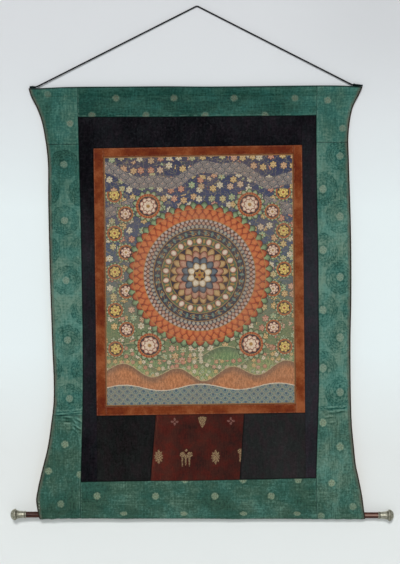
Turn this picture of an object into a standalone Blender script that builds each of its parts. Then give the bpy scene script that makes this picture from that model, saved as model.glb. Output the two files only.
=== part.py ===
"""Thangka: a painted cloth in a sewn silk mount, with a top stave, a roller rod and a hanging cord.

The origin is the hang point, at the top of the cord. X runs to the right of someone who faces the
painting, Z runs up, and the painting faces -Y. Sizes and tables are in millimetres, and every place
is given by x and by its drop, which is how far it lies below the hang point.
"""
import math
from bisect import bisect_right
from typing import NamedTuple

import bmesh
import bpy
from mathutils import Matrix, Vector

MM = 0.001                    # metres in a millimetre

# Cloth
SILK_THICKNESS = 1.5          # brocade with its lining, and the painted cloth
BORDER_THICKNESS = 2.1        # the folded rust strips stand a little proud
SEAM_GAP = 0.3                # left between two pieces that are sewn edge to edge
BINDING_WIDTH = 3.0
LAYER_PITCH = 1.85            # middle to middle of two layers that lie on each other
FLAP_LENGTH = 6.0             # turned-in cloth behind a sleeve's stitch line

# Top stave, a flat slat, tilted by its two end drops
STAVE_LEFT_X, STAVE_RIGHT_X = -451.0, 443.0
STAVE_LEFT_DROP, STAVE_RIGHT_DROP = 224.5, 220.5
STAVE_HEIGHT = 8.0
STAVE_DEPTH = 6.0
STAVE_ROUNDING = 1.5
STAVE_CLEARANCE = 0.5

# Roller rod and its knobs
ROD_RADIUS = 8.1
ROD_LEFT_X, ROD_RIGHT_X = -461.7, 489.5      # where the rod enters its knobs
ROD_LEFT_DROP, ROD_RIGHT_DROP = 1372.7, 1374.6
ROD_BACK = 3.0                # the rod's axis lies behind the cloth's middle
ROD_CLEARANCE = 0.5
ROD_CHAMFER = 0.8
ROD_STITCH_RISE = 13.7        # stitch line above the rod's axis
KNOB_SOCKET = 22.0            # depth to which the rod goes into a knob
KNOB_FIT = 0.3
ROUND_SIDES = 28

# Hanging cord
CORD_DIAMETER = 3.8
CORD_POINT_PITCH = 12.6
LASHING_WALL = 0.45
LASHING_FIT = 0.3
LASHING_SIDES = 16

# Slow waves that a rolled cloth keeps, and puckers where the lower seams draw in
ROLL_WAVE_HEIGHT = 1.5
ROLL_WAVE_LENGTH = 310.0
ROLL_WAVE_LEAN = 420.0        # width over which the waves shift by one radian
CROSS_WAVE_HEIGHT = 0.9
CROSS_WAVE_LENGTH = 540.0
CURL_HEIGHT = 5.0             # forward curl of the loose side edges above the rod
CURL_DROP = 1215.0
CURL_REACH = 120.0
WAIST_HALF_WIDTH = 330.0
PUCKER_HEIGHT = 1.0
PUCKER_LENGTH = 27.0
PUCKER_REACH = 15.0
FADE_LENGTH = 90.0            # waves die out over this length next to a sleeve
GATHER_HEIGHT = 0.5           # slack of the lower sleeve where its ends are gathered
GATHER_LENGTH = 31.0
GATHER_START_X = 250.0
GATHER_GROWTH = 100.0


class Down(NamedTuple):
    """A point on a line that runs down the mount."""
    drop: float
    x: float


class Across(NamedTuple):
    """A point on a line that runs across the mount."""
    x: float
    drop: float


class Turning(NamedTuple):
    """A point on a turned outline: how far along the axis, and the radius there."""
    along: float
    radius: float


# Outlines of the whole cloth
LEFT_EDGE = (
    Down(219.5, -455.5), Down(245.0, -447.4), Down(270.5, -434.4), Down(303.0, -421.7),
    Down(351.5, -411.2), Down(416.3, -403.1), Down(524.3, -402.0), Down(686.3, -398.5),
    Down(902.3, -391.8), Down(1064.3, -387.2), Down(1129.1, -394.2), Down(1193.9, -403.9),
    Down(1258.7, -419.9), Down(1301.9, -429.6), Down(1333.0, -434.4), Down(1354.6, -432.0),
    Down(1373.5, -427.7), Down(1386.0, -424.2),
)
RIGHT_EDGE = (
    Down(216.0, 447.1), Down(238.1, 437.7), Down(270.5, 421.5), Down(303.0, 413.9),
    Down(351.5, 408.8), Down(416.3, 410.4), Down(578.3, 415.3), Down(794.3, 416.9),
    Down(902.3, 414.5), Down(1064.3, 415.8), Down(1129.1, 418.2), Down(1193.9, 423.9),
    Down(1237.1, 428.5), Down(1280.3, 437.7), Down(1323.5, 446.3), Down(1354.6, 450.4),
    Down(1386.0, 454.1),
)
TOP_FOLD = (
    Across(-455.5, 221.0), Across(-443.0, 221.4), Across(-430.0, 221.1), Across(-353.7, 217.9),
    Across(-191.7, 216.5), Across(-78.3, 215.7), Across(19.0, 216.5), Across(148.5, 215.5),
    Across(278.0, 213.9), Across(399.6, 214.1), Across(424.0, 215.6), Across(447.1, 216.8),
)

# Seams that run down
LEFT_LONG_SEAM = (
    Down(217.0, -322.7), Down(298.9, -321.3), Down(523.0, -315.4), Down(744.4, -310.8),
    Down(1019.8, -308.1), Down(1284.4, -313.5), Down(1386.0, -313.2),
)
RIGHT_LONG_SEAM = (
    Down(214.0, 324.0), Down(294.3, 322.1), Down(744.4, 327.8), Down(1019.8, 329.1),
    Down(1273.6, 322.1), Down(1386.0, 322.7),
)
LEFT_BORDER_SEAM = (Down(298.0, -281.0), Down(383.9, -279.7), Down(1105.4, -270.8), Down(1284.0, -269.5))
RIGHT_BORDER_SEAM = (Down(294.0, 282.2), Down(374.5, 283.5), Down(1097.0, 291.9), Down(1276.0, 293.8))
PAINTING_LEFT = (Down(406.6, -253.0), Down(1080.5, -246.0))
PAINTING_RIGHT = (Down(397.7, 260.3), Down(1073.5, 267.0))
DOOR_LEFT = (Down(1107.3, -111.8), Down(1281.8, -125.6))
DOOR_RIGHT = (Down(1102.7, 127.2), Down(1278.0, 115.6))

# Seams that run across
BLACK_TOP_SEAM = (Across(-321.3, 298.9), Across(-140.0, 298.6), Across(60.0, 297.2), Across(322.1, 294.3))
BLACK_BOTTOM_SEAM = (Across(-313.5, 1284.4), Across(-160.0, 1281.6), Across(0.0, 1280.3), Across(322.1, 1273.6))
BORDER_TOP_SEAM = (Across(-279.7, 383.9), Across(283.5, 374.5))
BORDER_BOTTOM_SEAM = (Across(-270.8, 1105.4), Across(291.9, 1097.0))
PAINTING_TOP = (Across(-253.0, 406.6), Across(260.3, 397.7))
PAINTING_BOTTOM = (Across(-246.0, 1080.5), Across(267.0, 1073.5))
STAVE_STITCHES = (Across(-455.0, 243.5), Across(447.0, 239.5))
FLARE_TOP_LEFT_SEAM = (Across(-411.0, 373.5), Across(-319.5, 372.2))
FLARE_TOP_RIGHT_SEAM = (Across(323.0, 367.0), Across(409.0, 367.2))
FLARE_BOTTOM_LEFT_SEAM = (Across(-392.0, 1105.0), Across(-309.0, 1106.0))
FLARE_BOTTOM_RIGHT_SEAM = (Across(328.0, 1091.5), Across(417.0, 1092.6))

# A knob, from its collar to the tip of its dome
KNOB_OUTSIDE = (
    Turning(0.0, 9.4), Turning(0.8, 9.9), Turning(3.0, 9.9), Turning(3.8, 9.3), Turning(10.0, 9.3),
    Turning(17.0, 9.9), Turning(23.0, 11.4), Turning(27.0, 12.6), Turning(28.0, 14.8),
    Turning(30.0, 15.7), Turning(32.0, 15.4), Turning(35.5, 13.6), Turning(39.5, 9.6),
    Turning(41.6, 4.8),
)
KNOB_LENGTH = 42.2

# The cord's route: laid on the fold, straight up to the hang point, and down to the other fold
CORD_ROUTE = (
    Across(-450.5, 217.9), Across(-441.0, 218.0), Across(-435.5, 217.9), Across(-427.0, 214.3),
    Across(-390.0, 195.8), Across(-300.0, 150.4), Across(-200.0, 99.9), Across(-100.0, 49.5),
    Across(-40.0, 19.2), Across(-18.0, 8.1), Across(-9.0, 3.6), Across(-4.0, 1.0), Across(0.0, 0.0),
    Across(4.0, 1.0), Across(9.0, 3.6), Across(18.0, 8.1), Across(40.0, 19.3), Across(100.0, 49.8),
    Across(200.0, 100.6), Across(300.0, 151.4), Across(380.0, 192.0), Across(405.0, 204.7),
    Across(413.0, 208.6), Across(418.5, 211.1), Across(423.0, 212.4), Across(430.0, 212.8),
    Across(438.0, 213.3), Across(446.5, 213.8),
)
LEFT_LASHING = (Across(-448.6, 217.9), Across(-436.0, 218.0))
RIGHT_LASHING = (Across(422.0, 212.3), Across(444.5, 213.7))


class Finish(NamedTuple):
    """A plain material: its name, linear colour, roughness and metallic value."""
    name: str
    colour: tuple
    roughness: float
    metallic: float


GREEN = Finish("green_damask", (0.045, 0.13, 0.10), 0.75, 0.0)
BLACK = Finish("black_damask", (0.010, 0.009, 0.012), 0.8, 0.0)
RUST = Finish("rust_silk", (0.19, 0.038, 0.013), 0.7, 0.0)
MAROON = Finish("maroon_brocade", (0.055, 0.013, 0.010), 0.75, 0.0)
PAINT = Finish("painted_cloth", (0.23, 0.16, 0.11), 0.85, 0.0)
BINDING = Finish("red_brown_binding", (0.05, 0.016, 0.012), 0.8, 0.0)
WOOD = Finish("red_brown_wood", (0.09, 0.028, 0.014), 0.45, 0.0)
PALE_WOOD = Finish("plain_wood", (0.28, 0.17, 0.09), 0.6, 0.0)
SILVER = Finish("tarnished_silver", (0.36, 0.36, 0.31), 0.35, 1.0)
CORD_BLACK = Finish("black_cord", (0.008, 0.008, 0.010), 0.85, 0.0)
THREAD = Finish("dark_thread", (0.010, 0.018, 0.016), 0.85, 0.0)


# Lines and surfaces

def smooth_line(points):
    """Read a smooth line through (place, value) points; past its ends it runs straight on."""
    places = [point[0] for point in points]
    values = [point[1] for point in points]
    steps = [(values[i + 1] - values[i]) / (places[i + 1] - places[i]) for i in range(len(points) - 1)]
    slopes = [steps[0], *((before + after) / 2 for before, after in zip(steps, steps[1:])), steps[-1]]

    def read(place):
        if place <= places[0]:
            return values[0] + slopes[0] * (place - places[0])
        if place >= places[-1]:
            return values[-1] + slopes[-1] * (place - places[-1])
        i = bisect_right(places, place) - 1
        span = places[i + 1] - places[i]
        t = (place - places[i]) / span
        return (values[i] * (1 + 2 * t) * (1 - t) ** 2 + values[i + 1] * t * t * (3 - 2 * t)
                + span * (slopes[i] * t * (1 - t) ** 2 - slopes[i + 1] * t * t * (1 - t)))
    return read


def moved(line, distance):
    """Give the same line moved sideways by a distance."""
    return lambda place: line(place) + distance


def mix(start, end, share):
    """Go from start to end by a share of 0 to 1."""
    return start + (end - start) * share


def ease(share):
    """Rise smoothly from 0 to 1."""
    share = min(max(share, 0.0), 1.0)
    return share * share * (3 - 2 * share)


def bump(distance, reach):
    """Rise to 1 at distance 0, and die out over the reach."""
    return math.exp(-((distance / reach) ** 2))


STAVE_STITCH_LINE = smooth_line(STAVE_STITCHES)
STAVE_TOP_LINE = smooth_line((Across(STAVE_LEFT_X, STAVE_LEFT_DROP), Across(STAVE_RIGHT_X, STAVE_RIGHT_DROP)))
ROD_AXIS_LINE = smooth_line((Across(ROD_LEFT_X, ROD_LEFT_DROP), Across(ROD_RIGHT_X, ROD_RIGHT_DROP)))
ROD_STITCH_LINE = moved(ROD_AXIS_LINE, -ROD_STITCH_RISE)
TOP_FOLD_LINE = smooth_line(TOP_FOLD)
PUCKERED_SEAMS = (smooth_line(FLARE_BOTTOM_LEFT_SEAM), smooth_line(FLARE_BOTTOM_RIGHT_SEAM))


def sheet_back(x, drop):
    """Say how far the middle of the hanging cloth lies behind its plane, in front being negative."""
    fade = ease((drop - STAVE_STITCH_LINE(x)) / FADE_LENGTH) * ease((ROD_STITCH_LINE(x) - drop) / FADE_LENGTH)
    wave = ROLL_WAVE_HEIGHT * math.sin(math.tau * drop / ROLL_WAVE_LENGTH + x / ROLL_WAVE_LEAN)
    cross = CROSS_WAVE_HEIGHT * math.sin(math.tau * x / CROSS_WAVE_LENGTH + drop / ROLL_WAVE_LEAN)
    beyond_waist = max(abs(x) - WAIST_HALF_WIDTH, 0.0) / (abs(LEFT_EDGE[0].x) - WAIST_HALF_WIDTH)
    curl = CURL_HEIGHT * ease(beyond_waist) * bump(drop - CURL_DROP, CURL_REACH)
    seam = PUCKERED_SEAMS[0 if x < 0 else 1](x)
    pucker = (PUCKER_HEIGHT * bump(drop - seam, PUCKER_REACH) * math.sin(math.tau * x / PUCKER_LENGTH)
              * ease((abs(x) - WAIST_HALF_WIDTH + PUCKER_LENGTH) / PUCKER_LENGTH))
    return -fade * (wave + cross + curl + pucker)


def arc(centre_back, centre_drop, radius, start, end, steps):
    """List (back, drop) places on an arc; an angle of 0 points to the back and of 90 degrees down."""
    angles = [math.radians(mix(start, end, step / steps)) for step in range(steps + 1)]
    return [(centre_back + radius * math.cos(angle), centre_drop + radius * math.sin(angle))
            for angle in angles]


def stave_section(x):
    """List (back, drop) places of the top sleeve, from its inner flap over the fold to the stitches."""
    fold = TOP_FOLD_LINE(x) + SILK_THICKNESS / 2
    stitch = STAVE_STITCH_LINE(x)
    radius = STAVE_DEPTH / 2 + STAVE_CLEARANCE + SILK_THICKNESS / 2
    below_stave = STAVE_TOP_LINE(x) + STAVE_HEIGHT
    flap_end = stitch + FLAP_LENGTH
    return [
        (LAYER_PITCH + sheet_back(x, flap_end), flap_end),
        (LAYER_PITCH, stitch),
        (radius, below_stave),
        *arc(0.0, fold + radius, radius, 0.0, -180.0, 6),
        (-radius, below_stave),
    ]


def rod_section(x):
    """List (back, drop) places of the lower sleeve, from below its stitches round to its inner flap."""
    gather = GATHER_HEIGHT * ease((abs(x) - GATHER_START_X) / GATHER_GROWTH)
    slack = gather * (1 + math.sin(math.tau * x / GATHER_LENGTH))
    radius = ROD_RADIUS + ROD_CLEARANCE + SILK_THICKNESS / 2 + slack
    axis = ROD_AXIS_LINE(x)
    stitch = ROD_STITCH_LINE(x)
    flap_end = stitch - FLAP_LENGTH
    front = tangent_angle(-ROD_BACK, radius, -1)
    rear = tangent_angle(LAYER_PITCH - ROD_BACK, radius, 1)
    return [
        *arc(ROD_BACK, axis, radius, front, rear - 360.0, 8),
        (LAYER_PITCH, stitch),
        (LAYER_PITCH + sheet_back(x, flap_end), flap_end),
    ]


def tangent_angle(back, radius, side):
    """Find where the cloth that comes from its stitches meets the round of the sleeve, in degrees."""
    reach = math.hypot(back, ROD_STITCH_RISE)
    toward_stitch = math.degrees(math.atan2(-ROD_STITCH_RISE, back))
    return toward_stitch + side * math.degrees(math.acos(radius / reach))


def sleeve_rows(section):
    """Give one row for each place of a sleeve's section."""
    return [lambda x, i=i: section(x)[i] for i in range(len(section(0.0)))]


def flat_rows(upper, lower, count, crowd=0.0):
    """Give rows of the hanging cloth from one line to another, crowded toward the lower one by crowd."""
    rows = []
    for i in range(count + 1):
        share = i / count
        share = mix(share, 1 - (1 - share) ** 2, crowd)

        def row(x, share=share):
            drop = mix(upper(x), lower(x), share)
            return sheet_back(x, drop), drop
        rows.append(row)
    return rows


# Building

def clear_scene():
    """Remove what the scene holds."""
    for item in list(bpy.data.objects):
        bpy.data.objects.remove(item, do_unlink=True)


def make_material(finish):
    """Make a Principled material from a finish."""
    material = bpy.data.materials.new(finish.name)
    material.use_nodes = True
    shader = material.node_tree.nodes["Principled BSDF"]
    shader.inputs["Base Color"].default_value = (*finish.colour, 1.0)
    shader.inputs["Roughness"].default_value = finish.roughness
    shader.inputs["Metallic"].default_value = finish.metallic
    return material


def add_part(name, data, finish, collection, parent):
    """Put an object of the mesh or curve in the collection, with a material of its own."""
    part = bpy.data.objects.new(name, data)
    data.materials.append(make_material(finish._replace(name=name + "_" + finish.name)))
    collection.objects.link(part)
    part.parent = parent
    return part


def place(x, back, drop):
    """Turn a place on the hanging mount into a point in metres."""
    return Vector((x * MM, back * MM, -drop * MM))


def row_point(row, left, right, share):
    """Find the point on a row at a share of the way from the left line to the right line."""
    x = mix(left(row(0.0)[1]), right(row(0.0)[1]), share)
    for _ in range(4):
        back, drop = row(x)
        x = mix(left(drop), right(drop), share)
    return place(x, *row(x))


def make_sheet(name, finish, left, right, rows, columns, collection, parent, thickness=SILK_THICKNESS):
    """Make a sewn piece: a grid laid between two lines on its rows, thickened to both sides."""
    mesh = bpy.data.meshes.new(name)
    grid = bmesh.new()
    bmesh.ops.create_grid(grid, x_segments=columns, y_segments=len(rows) - 1, size=1.0)
    for vertex in grid.verts:
        share = (vertex.co.x + 1) / 2
        index = round((1 - vertex.co.y) / 2 * (len(rows) - 1))
        vertex.co = row_point(rows[index], left, right, share)
    corners = [vertex.co for vertex in grid.verts]
    centre = sum(corners, Vector()) / len(corners)
    bmesh.ops.translate(grid, verts=grid.verts, vec=-centre)
    grid.to_mesh(mesh)
    grid.free()
    mesh.shade_smooth()
    sheet = add_part(name, mesh, finish, collection, parent)
    sheet.location = centre
    solidify = sheet.modifiers.new("Thickness", "SOLIDIFY")
    solidify.thickness = thickness * MM
    solidify.offset = 0.0
    solidify.use_even_offset = True
    return sheet


def make_cloth(collection, parent):
    """Make every sewn piece of the mount, seam by seam."""
    half = SEAM_GAP / 2

    def between(left_line, right_line):
        return moved(left_line, half), moved(right_line, -half)

    def panel(name, finish, sides, rows, columns, thickness=SILK_THICKNESS):
        make_sheet(name, finish, *sides, rows, columns, collection, parent, thickness)

    def rows(upper, lower, count, crowd=0.0):
        return flat_rows(moved(upper, half), moved(lower, -half), count, crowd)

    outer_left = smooth_line(LEFT_EDGE)
    outer_right = smooth_line(RIGHT_EDGE)
    green_left_edge = moved(outer_left, BINDING_WIDTH + half)
    green_right_edge = moved(outer_right, -BINDING_WIDTH - half)
    left_seam = smooth_line(LEFT_LONG_SEAM)
    right_seam = smooth_line(RIGHT_LONG_SEAM)
    border_left = smooth_line(LEFT_BORDER_SEAM)
    border_right = smooth_line(RIGHT_BORDER_SEAM)
    painting_left = smooth_line(PAINTING_LEFT)
    painting_right = smooth_line(PAINTING_RIGHT)
    door_left = smooth_line(DOOR_LEFT)
    door_right = smooth_line(DOOR_RIGHT)
    black_top = smooth_line(BLACK_TOP_SEAM)
    black_bottom = smooth_line(BLACK_BOTTOM_SEAM)
    border_top = smooth_line(BORDER_TOP_SEAM)
    border_bottom = smooth_line(BORDER_BOTTOM_SEAM)
    painting_top = smooth_line(PAINTING_TOP)
    painting_bottom = smooth_line(PAINTING_BOTTOM)
    top_sleeve = sleeve_rows(stave_section)
    lower_sleeve = sleeve_rows(rod_section)

    def from_fold(lower, count):
        return top_sleeve + flat_rows(STAVE_STITCH_LINE, moved(lower, -half), count)

    def to_rod(upper, count):
        return flat_rows(moved(upper, half), ROD_STITCH_LINE, count) + lower_sleeve

    panel("painting", PAINT, between(painting_left, painting_right), rows(painting_top, painting_bottom, 14), 10)
    panel("border_left", RUST, between(border_left, painting_left), rows(border_top, border_bottom, 14), 1,
          BORDER_THICKNESS)
    panel("border_right", RUST, between(painting_right, border_right), rows(border_top, border_bottom, 14), 1,
          BORDER_THICKNESS)
    panel("border_top", RUST, between(painting_left, painting_right), rows(border_top, painting_top, 1), 10,
          BORDER_THICKNESS)
    panel("border_bottom", RUST, between(painting_left, painting_right), rows(painting_bottom, border_bottom, 1),
          10, BORDER_THICKNESS)
    panel("black_left", BLACK, between(left_seam, border_left), rows(black_top, black_bottom, 20), 1)
    panel("black_right", BLACK, between(border_right, right_seam), rows(black_top, black_bottom, 20), 1)
    panel("black_top", BLACK, between(border_left, border_right), rows(black_top, border_top, 2), 11)
    panel("black_bottom_left", BLACK, between(border_left, door_left), rows(border_bottom, black_bottom, 4), 4)
    panel("black_bottom_right", BLACK, between(door_right, border_right), rows(border_bottom, black_bottom, 4), 4)
    panel("door", MAROON, between(door_left, door_right), rows(border_bottom, black_bottom, 4), 5)
    panel("green_top", GREEN, between(left_seam, right_seam), from_fold(black_top, 2), 16)
    panel("green_bottom", GREEN, between(left_seam, right_seam), to_rod(black_bottom, 3), 22)

    sides = (
        ("left", (green_left_edge, moved(left_seam, -half)), (outer_left, moved(green_left_edge, -SEAM_GAP)),
         smooth_line(FLARE_TOP_LEFT_SEAM), smooth_line(FLARE_BOTTOM_LEFT_SEAM)),
        ("right", (moved(right_seam, half), green_right_edge), (moved(green_right_edge, SEAM_GAP), outer_right),
         smooth_line(FLARE_TOP_RIGHT_SEAM), smooth_line(FLARE_BOTTOM_RIGHT_SEAM)),
    )
    for side, strip, edge, upper_seam, lower_seam in sides:
        flare_top = from_fold(upper_seam, 7)
        middle = rows(upper_seam, lower_seam, 24, crowd=0.45)
        flare_bottom = to_rod(lower_seam, 14)
        panel("flare_top_" + side, GREEN, strip, flare_top, 5)
        panel("green_" + side, GREEN, strip, middle, 9)
        panel("flare_bottom_" + side, GREEN, strip, flare_bottom, 9)
        panel("binding_" + side, BINDING, edge, flare_top + middle[1:] + flare_bottom[1:], 1)


def make_stave(collection, parent):
    """Make the flat slat of the top sleeve."""
    length = math.hypot(STAVE_RIGHT_X - STAVE_LEFT_X, STAVE_RIGHT_DROP - STAVE_LEFT_DROP)
    mesh = bpy.data.meshes.new("top_stave")
    slat = bmesh.new()
    bmesh.ops.create_cube(slat, size=MM, matrix=Matrix.Diagonal((length, STAVE_DEPTH, STAVE_HEIGHT, 1.0)))
    slat.to_mesh(mesh)
    slat.free()
    stave = add_part("top_stave", mesh, PALE_WOOD, collection, parent)
    stave.location = place((STAVE_LEFT_X + STAVE_RIGHT_X) / 2, 0.0,
                           (STAVE_LEFT_DROP + STAVE_RIGHT_DROP + STAVE_HEIGHT) / 2)
    stave.rotation_euler.y = math.atan2(STAVE_RIGHT_DROP - STAVE_LEFT_DROP, STAVE_RIGHT_X - STAVE_LEFT_X)
    bevel = stave.modifiers.new("Rounding", "BEVEL")
    bevel.width = STAVE_ROUNDING * MM
    bevel.segments = 2


def rod_tilt():
    """Angle by which the rod drops toward the right."""
    return math.atan2(ROD_RIGHT_DROP - ROD_LEFT_DROP, ROD_RIGHT_X - ROD_LEFT_X)


def make_rod(collection, parent):
    """Make the roller rod, which reaches into both knobs."""
    length = math.hypot(ROD_RIGHT_X - ROD_LEFT_X, ROD_RIGHT_DROP - ROD_LEFT_DROP) + 2 * (KNOB_SOCKET - KNOB_FIT)
    mesh = bpy.data.meshes.new("roller_rod")
    bar = bmesh.new()
    bmesh.ops.create_cone(bar, cap_ends=True, segments=ROUND_SIDES, radius1=ROD_RADIUS * MM,
                          radius2=ROD_RADIUS * MM, depth=length * MM)
    bar.to_mesh(mesh)
    bar.free()
    mesh.shade_smooth()
    mesh.set_sharp_from_angle(angle=math.radians(40))
    rod = add_part("roller_rod", mesh, WOOD, collection, parent)
    rod.location = place((ROD_LEFT_X + ROD_RIGHT_X) / 2, ROD_BACK, (ROD_LEFT_DROP + ROD_RIGHT_DROP) / 2)
    rod.rotation_euler.y = math.pi / 2 + rod_tilt()
    bevel = rod.modifiers.new("Chamfer", "BEVEL")
    bevel.width = ROD_CHAMFER * MM
    bevel.segments = 1
    bevel.limit_method = "ANGLE"
    bevel.angle_limit = math.radians(60)


def make_knob(name, x, drop, outward, collection, parent):
    """Make a turned cap with a socket for the rod; outward is -1 for the left end and 1 for the right."""
    bore = ROD_RADIUS + KNOB_FIT
    outline = [Turning(KNOB_LENGTH, 0.0), *reversed(KNOB_OUTSIDE), Turning(0.0, bore),
               Turning(KNOB_SOCKET, bore), Turning(KNOB_SOCKET, 0.0)]
    mesh = bpy.data.meshes.new(name)
    profile = bmesh.new()
    corners = [profile.verts.new((point.radius * MM, 0.0, point.along * MM)) for point in outline]
    for start, end in zip(corners, corners[1:]):
        profile.edges.new((start, end))
    profile.to_mesh(mesh)
    profile.free()
    knob = add_part(name, mesh, SILVER, collection, parent)
    knob.location = place(x, ROD_BACK, drop)
    knob.rotation_euler.y = outward * math.pi / 2 + rod_tilt()
    screw = knob.modifiers.new("Turning", "SCREW")
    screw.steps = ROUND_SIDES
    screw.render_steps = ROUND_SIDES
    screw.use_merge_vertices = True
    screw.merge_threshold = 0.00001
    screw.use_smooth_shade = True


def cord_points():
    """List points of the cord: a smooth curve through its route, about one point in each pitch."""
    route = [place(point.x, 0.0, point.drop) for point in CORD_ROUTE]
    points = [route[0]]
    for i in range(len(route) - 1):
        before = route[max(i - 1, 0)]
        start, end = route[i], route[i + 1]
        after = route[min(i + 2, len(route) - 1)]
        span = (end - start).length
        leave = (end - before) * (span / (end - before).length)
        arrive = (after - start) * (span / (after - start).length)
        count = max(1, round(span / (CORD_POINT_PITCH * MM)))
        for step in range(1, count + 1):
            t = step / count
            points.append(start * (1 + 2 * t) * (1 - t) ** 2 + end * t * t * (3 - 2 * t)
                          + leave * t * (1 - t) ** 2 - arrive * t * t * (1 - t))
    return points


def make_cord(collection, parent):
    """Make the hanging cord as a tube with closed ends."""
    points = cord_points()
    curve = bpy.data.curves.new("hanging_cord", "CURVE")
    curve.dimensions = "3D"
    curve.bevel_depth = CORD_DIAMETER / 2 * MM
    curve.bevel_resolution = 2
    curve.use_fill_caps = True
    spline = curve.splines.new("POLY")
    spline.points.add(len(points) - 1)
    for knot, point in zip(spline.points, points):
        knot.co = (*point, 1.0)
    add_part("hanging_cord", curve, CORD_BLACK, collection, parent)


def make_lashing(name, ends, collection, parent):
    """Make the thread that is wound round an end of the cord, as an open sleeve with a thin wall."""
    start, end = (place(point.x, 0.0, point.drop) for point in ends)
    inner = CORD_DIAMETER / 2 + LASHING_FIT
    mesh = bpy.data.meshes.new(name)
    winding = bmesh.new()
    bmesh.ops.create_cone(winding, cap_ends=False, segments=LASHING_SIDES, radius1=inner * MM,
                          radius2=inner * MM, depth=(end - start).length)
    winding.to_mesh(mesh)
    winding.free()
    mesh.shade_smooth()
    lashing = add_part(name, mesh, THREAD, collection, parent)
    lashing.location = (start + end) / 2
    lashing.rotation_euler.y = math.pi / 2 + math.atan2(start.z - end.z, end.x - start.x)
    solidify = lashing.modifiers.new("Wall", "SOLIDIFY")
    solidify.thickness = LASHING_WALL * MM
    solidify.offset = 1.0


def main():
    """Build the whole mount."""
    clear_scene()
    collection = bpy.data.collections.new("thangka")
    bpy.context.scene.collection.children.link(collection)
    hang_point = bpy.data.objects.new("hang_point", None)
    collection.objects.link(hang_point)
    make_cloth(collection, hang_point)
    make_stave(collection, hang_point)
    make_rod(collection, hang_point)
    make_knob("knob_left", ROD_LEFT_X, ROD_LEFT_DROP, -1, collection, hang_point)
    make_knob("knob_right", ROD_RIGHT_X, ROD_RIGHT_DROP, 1, collection, hang_point)
    make_cord(collection, hang_point)
    make_lashing("cord_lashing_left", LEFT_LASHING, collection, hang_point)
    make_lashing("cord_lashing_right", RIGHT_LASHING, collection, hang_point)


main()
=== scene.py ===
"""Thangka scroll painting: a painted cloth in a sewn silk mount, with its stave, rod, knobs and cord.

Sizes and tables are in millimetres. A place on the mount is given by x, to the right of someone who faces
the painting, and by its drop, how far it lies below the hang point. The painting faces -Y.
"""
import logging
import math
from collections.abc import Callable, Sequence
from dataclasses import dataclass
from enum import Enum
from functools import cache, partial
from typing import NamedTuple, Union

import bpy
import numpy as np
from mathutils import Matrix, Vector


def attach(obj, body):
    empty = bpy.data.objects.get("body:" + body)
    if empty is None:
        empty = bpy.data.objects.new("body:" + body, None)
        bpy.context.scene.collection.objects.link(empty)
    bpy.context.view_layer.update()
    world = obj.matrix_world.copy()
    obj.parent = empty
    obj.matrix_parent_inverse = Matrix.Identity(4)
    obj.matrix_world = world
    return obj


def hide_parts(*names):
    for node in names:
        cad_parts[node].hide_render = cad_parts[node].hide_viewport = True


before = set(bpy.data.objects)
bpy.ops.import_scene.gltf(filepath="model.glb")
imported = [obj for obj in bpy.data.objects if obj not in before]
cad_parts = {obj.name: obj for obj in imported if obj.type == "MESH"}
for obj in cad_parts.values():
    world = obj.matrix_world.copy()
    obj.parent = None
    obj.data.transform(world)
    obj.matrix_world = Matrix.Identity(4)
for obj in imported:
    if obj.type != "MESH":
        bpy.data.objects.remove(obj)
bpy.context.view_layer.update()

Colour = tuple[float, float, float]
Array = np.ndarray
Places = tuple[Array, Array, Array]   # how far back, the drop, and the drop as laid flat
Row = Callable[[Array], Places]       # one row of a sheet's grid, as a function of x
Lines = tuple["Line", "Line"]

LOG = logging.getLogger("thangka")
MM = 0.001                    # metres in a millimetre
SILK_THICKNESS = 1.5          # brocade with its lining, and the painted cloth
BORDER_THICKNESS = 2.1        # the folded rust strips stand a little proud
BINDING_WIDTH = 3.0
BINDING_LAP = 0.35            # how far the cloth reaches into the rolled edge
LAYER_PITCH = 1.85            # middle to middle of two layers that lie on each other
FLAP_LENGTH = 6.0             # turned-in cloth behind a sleeve's stitch line
SEAM_HALF = 0.02              # half of the gap between two pieces, where the cloth meets
GRID_PITCH = 4.0              # size of a sheet's faces
CLOSE_PITCH = 1.2             # their height where the cloth is drawn
EDGE_STEPS = (0.0, 0.7, 1.8, 3.4)    # finer columns and rows next to a seam
SEAM_DIP = 0.35               # how far the cloth is drawn back in a seam
SEAM_REACH = 1.3
FAR_FROM_EDGE = 60.0          # distances from an edge are kept up to this
SOFT_SIDE = 2.4               # added to the distance from an upright seam that hardly shows
SOFT_END = 1.68               # the same for a seam that runs across
NO_MOTIF = (400.0, 400.0, 0.0)


class Motif(NamedTuple):
    """A woven motif: its middle, its kind or strength, and its height as a share of its width."""
    x: float
    drop: float
    kind: float
    tall: float = 1.0


class Fade(NamedTuple):
    """How faded a cloth is at places down it, or across it."""
    places: tuple[float, ...]
    shares: tuple[float, ...]
    across: bool = False


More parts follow.
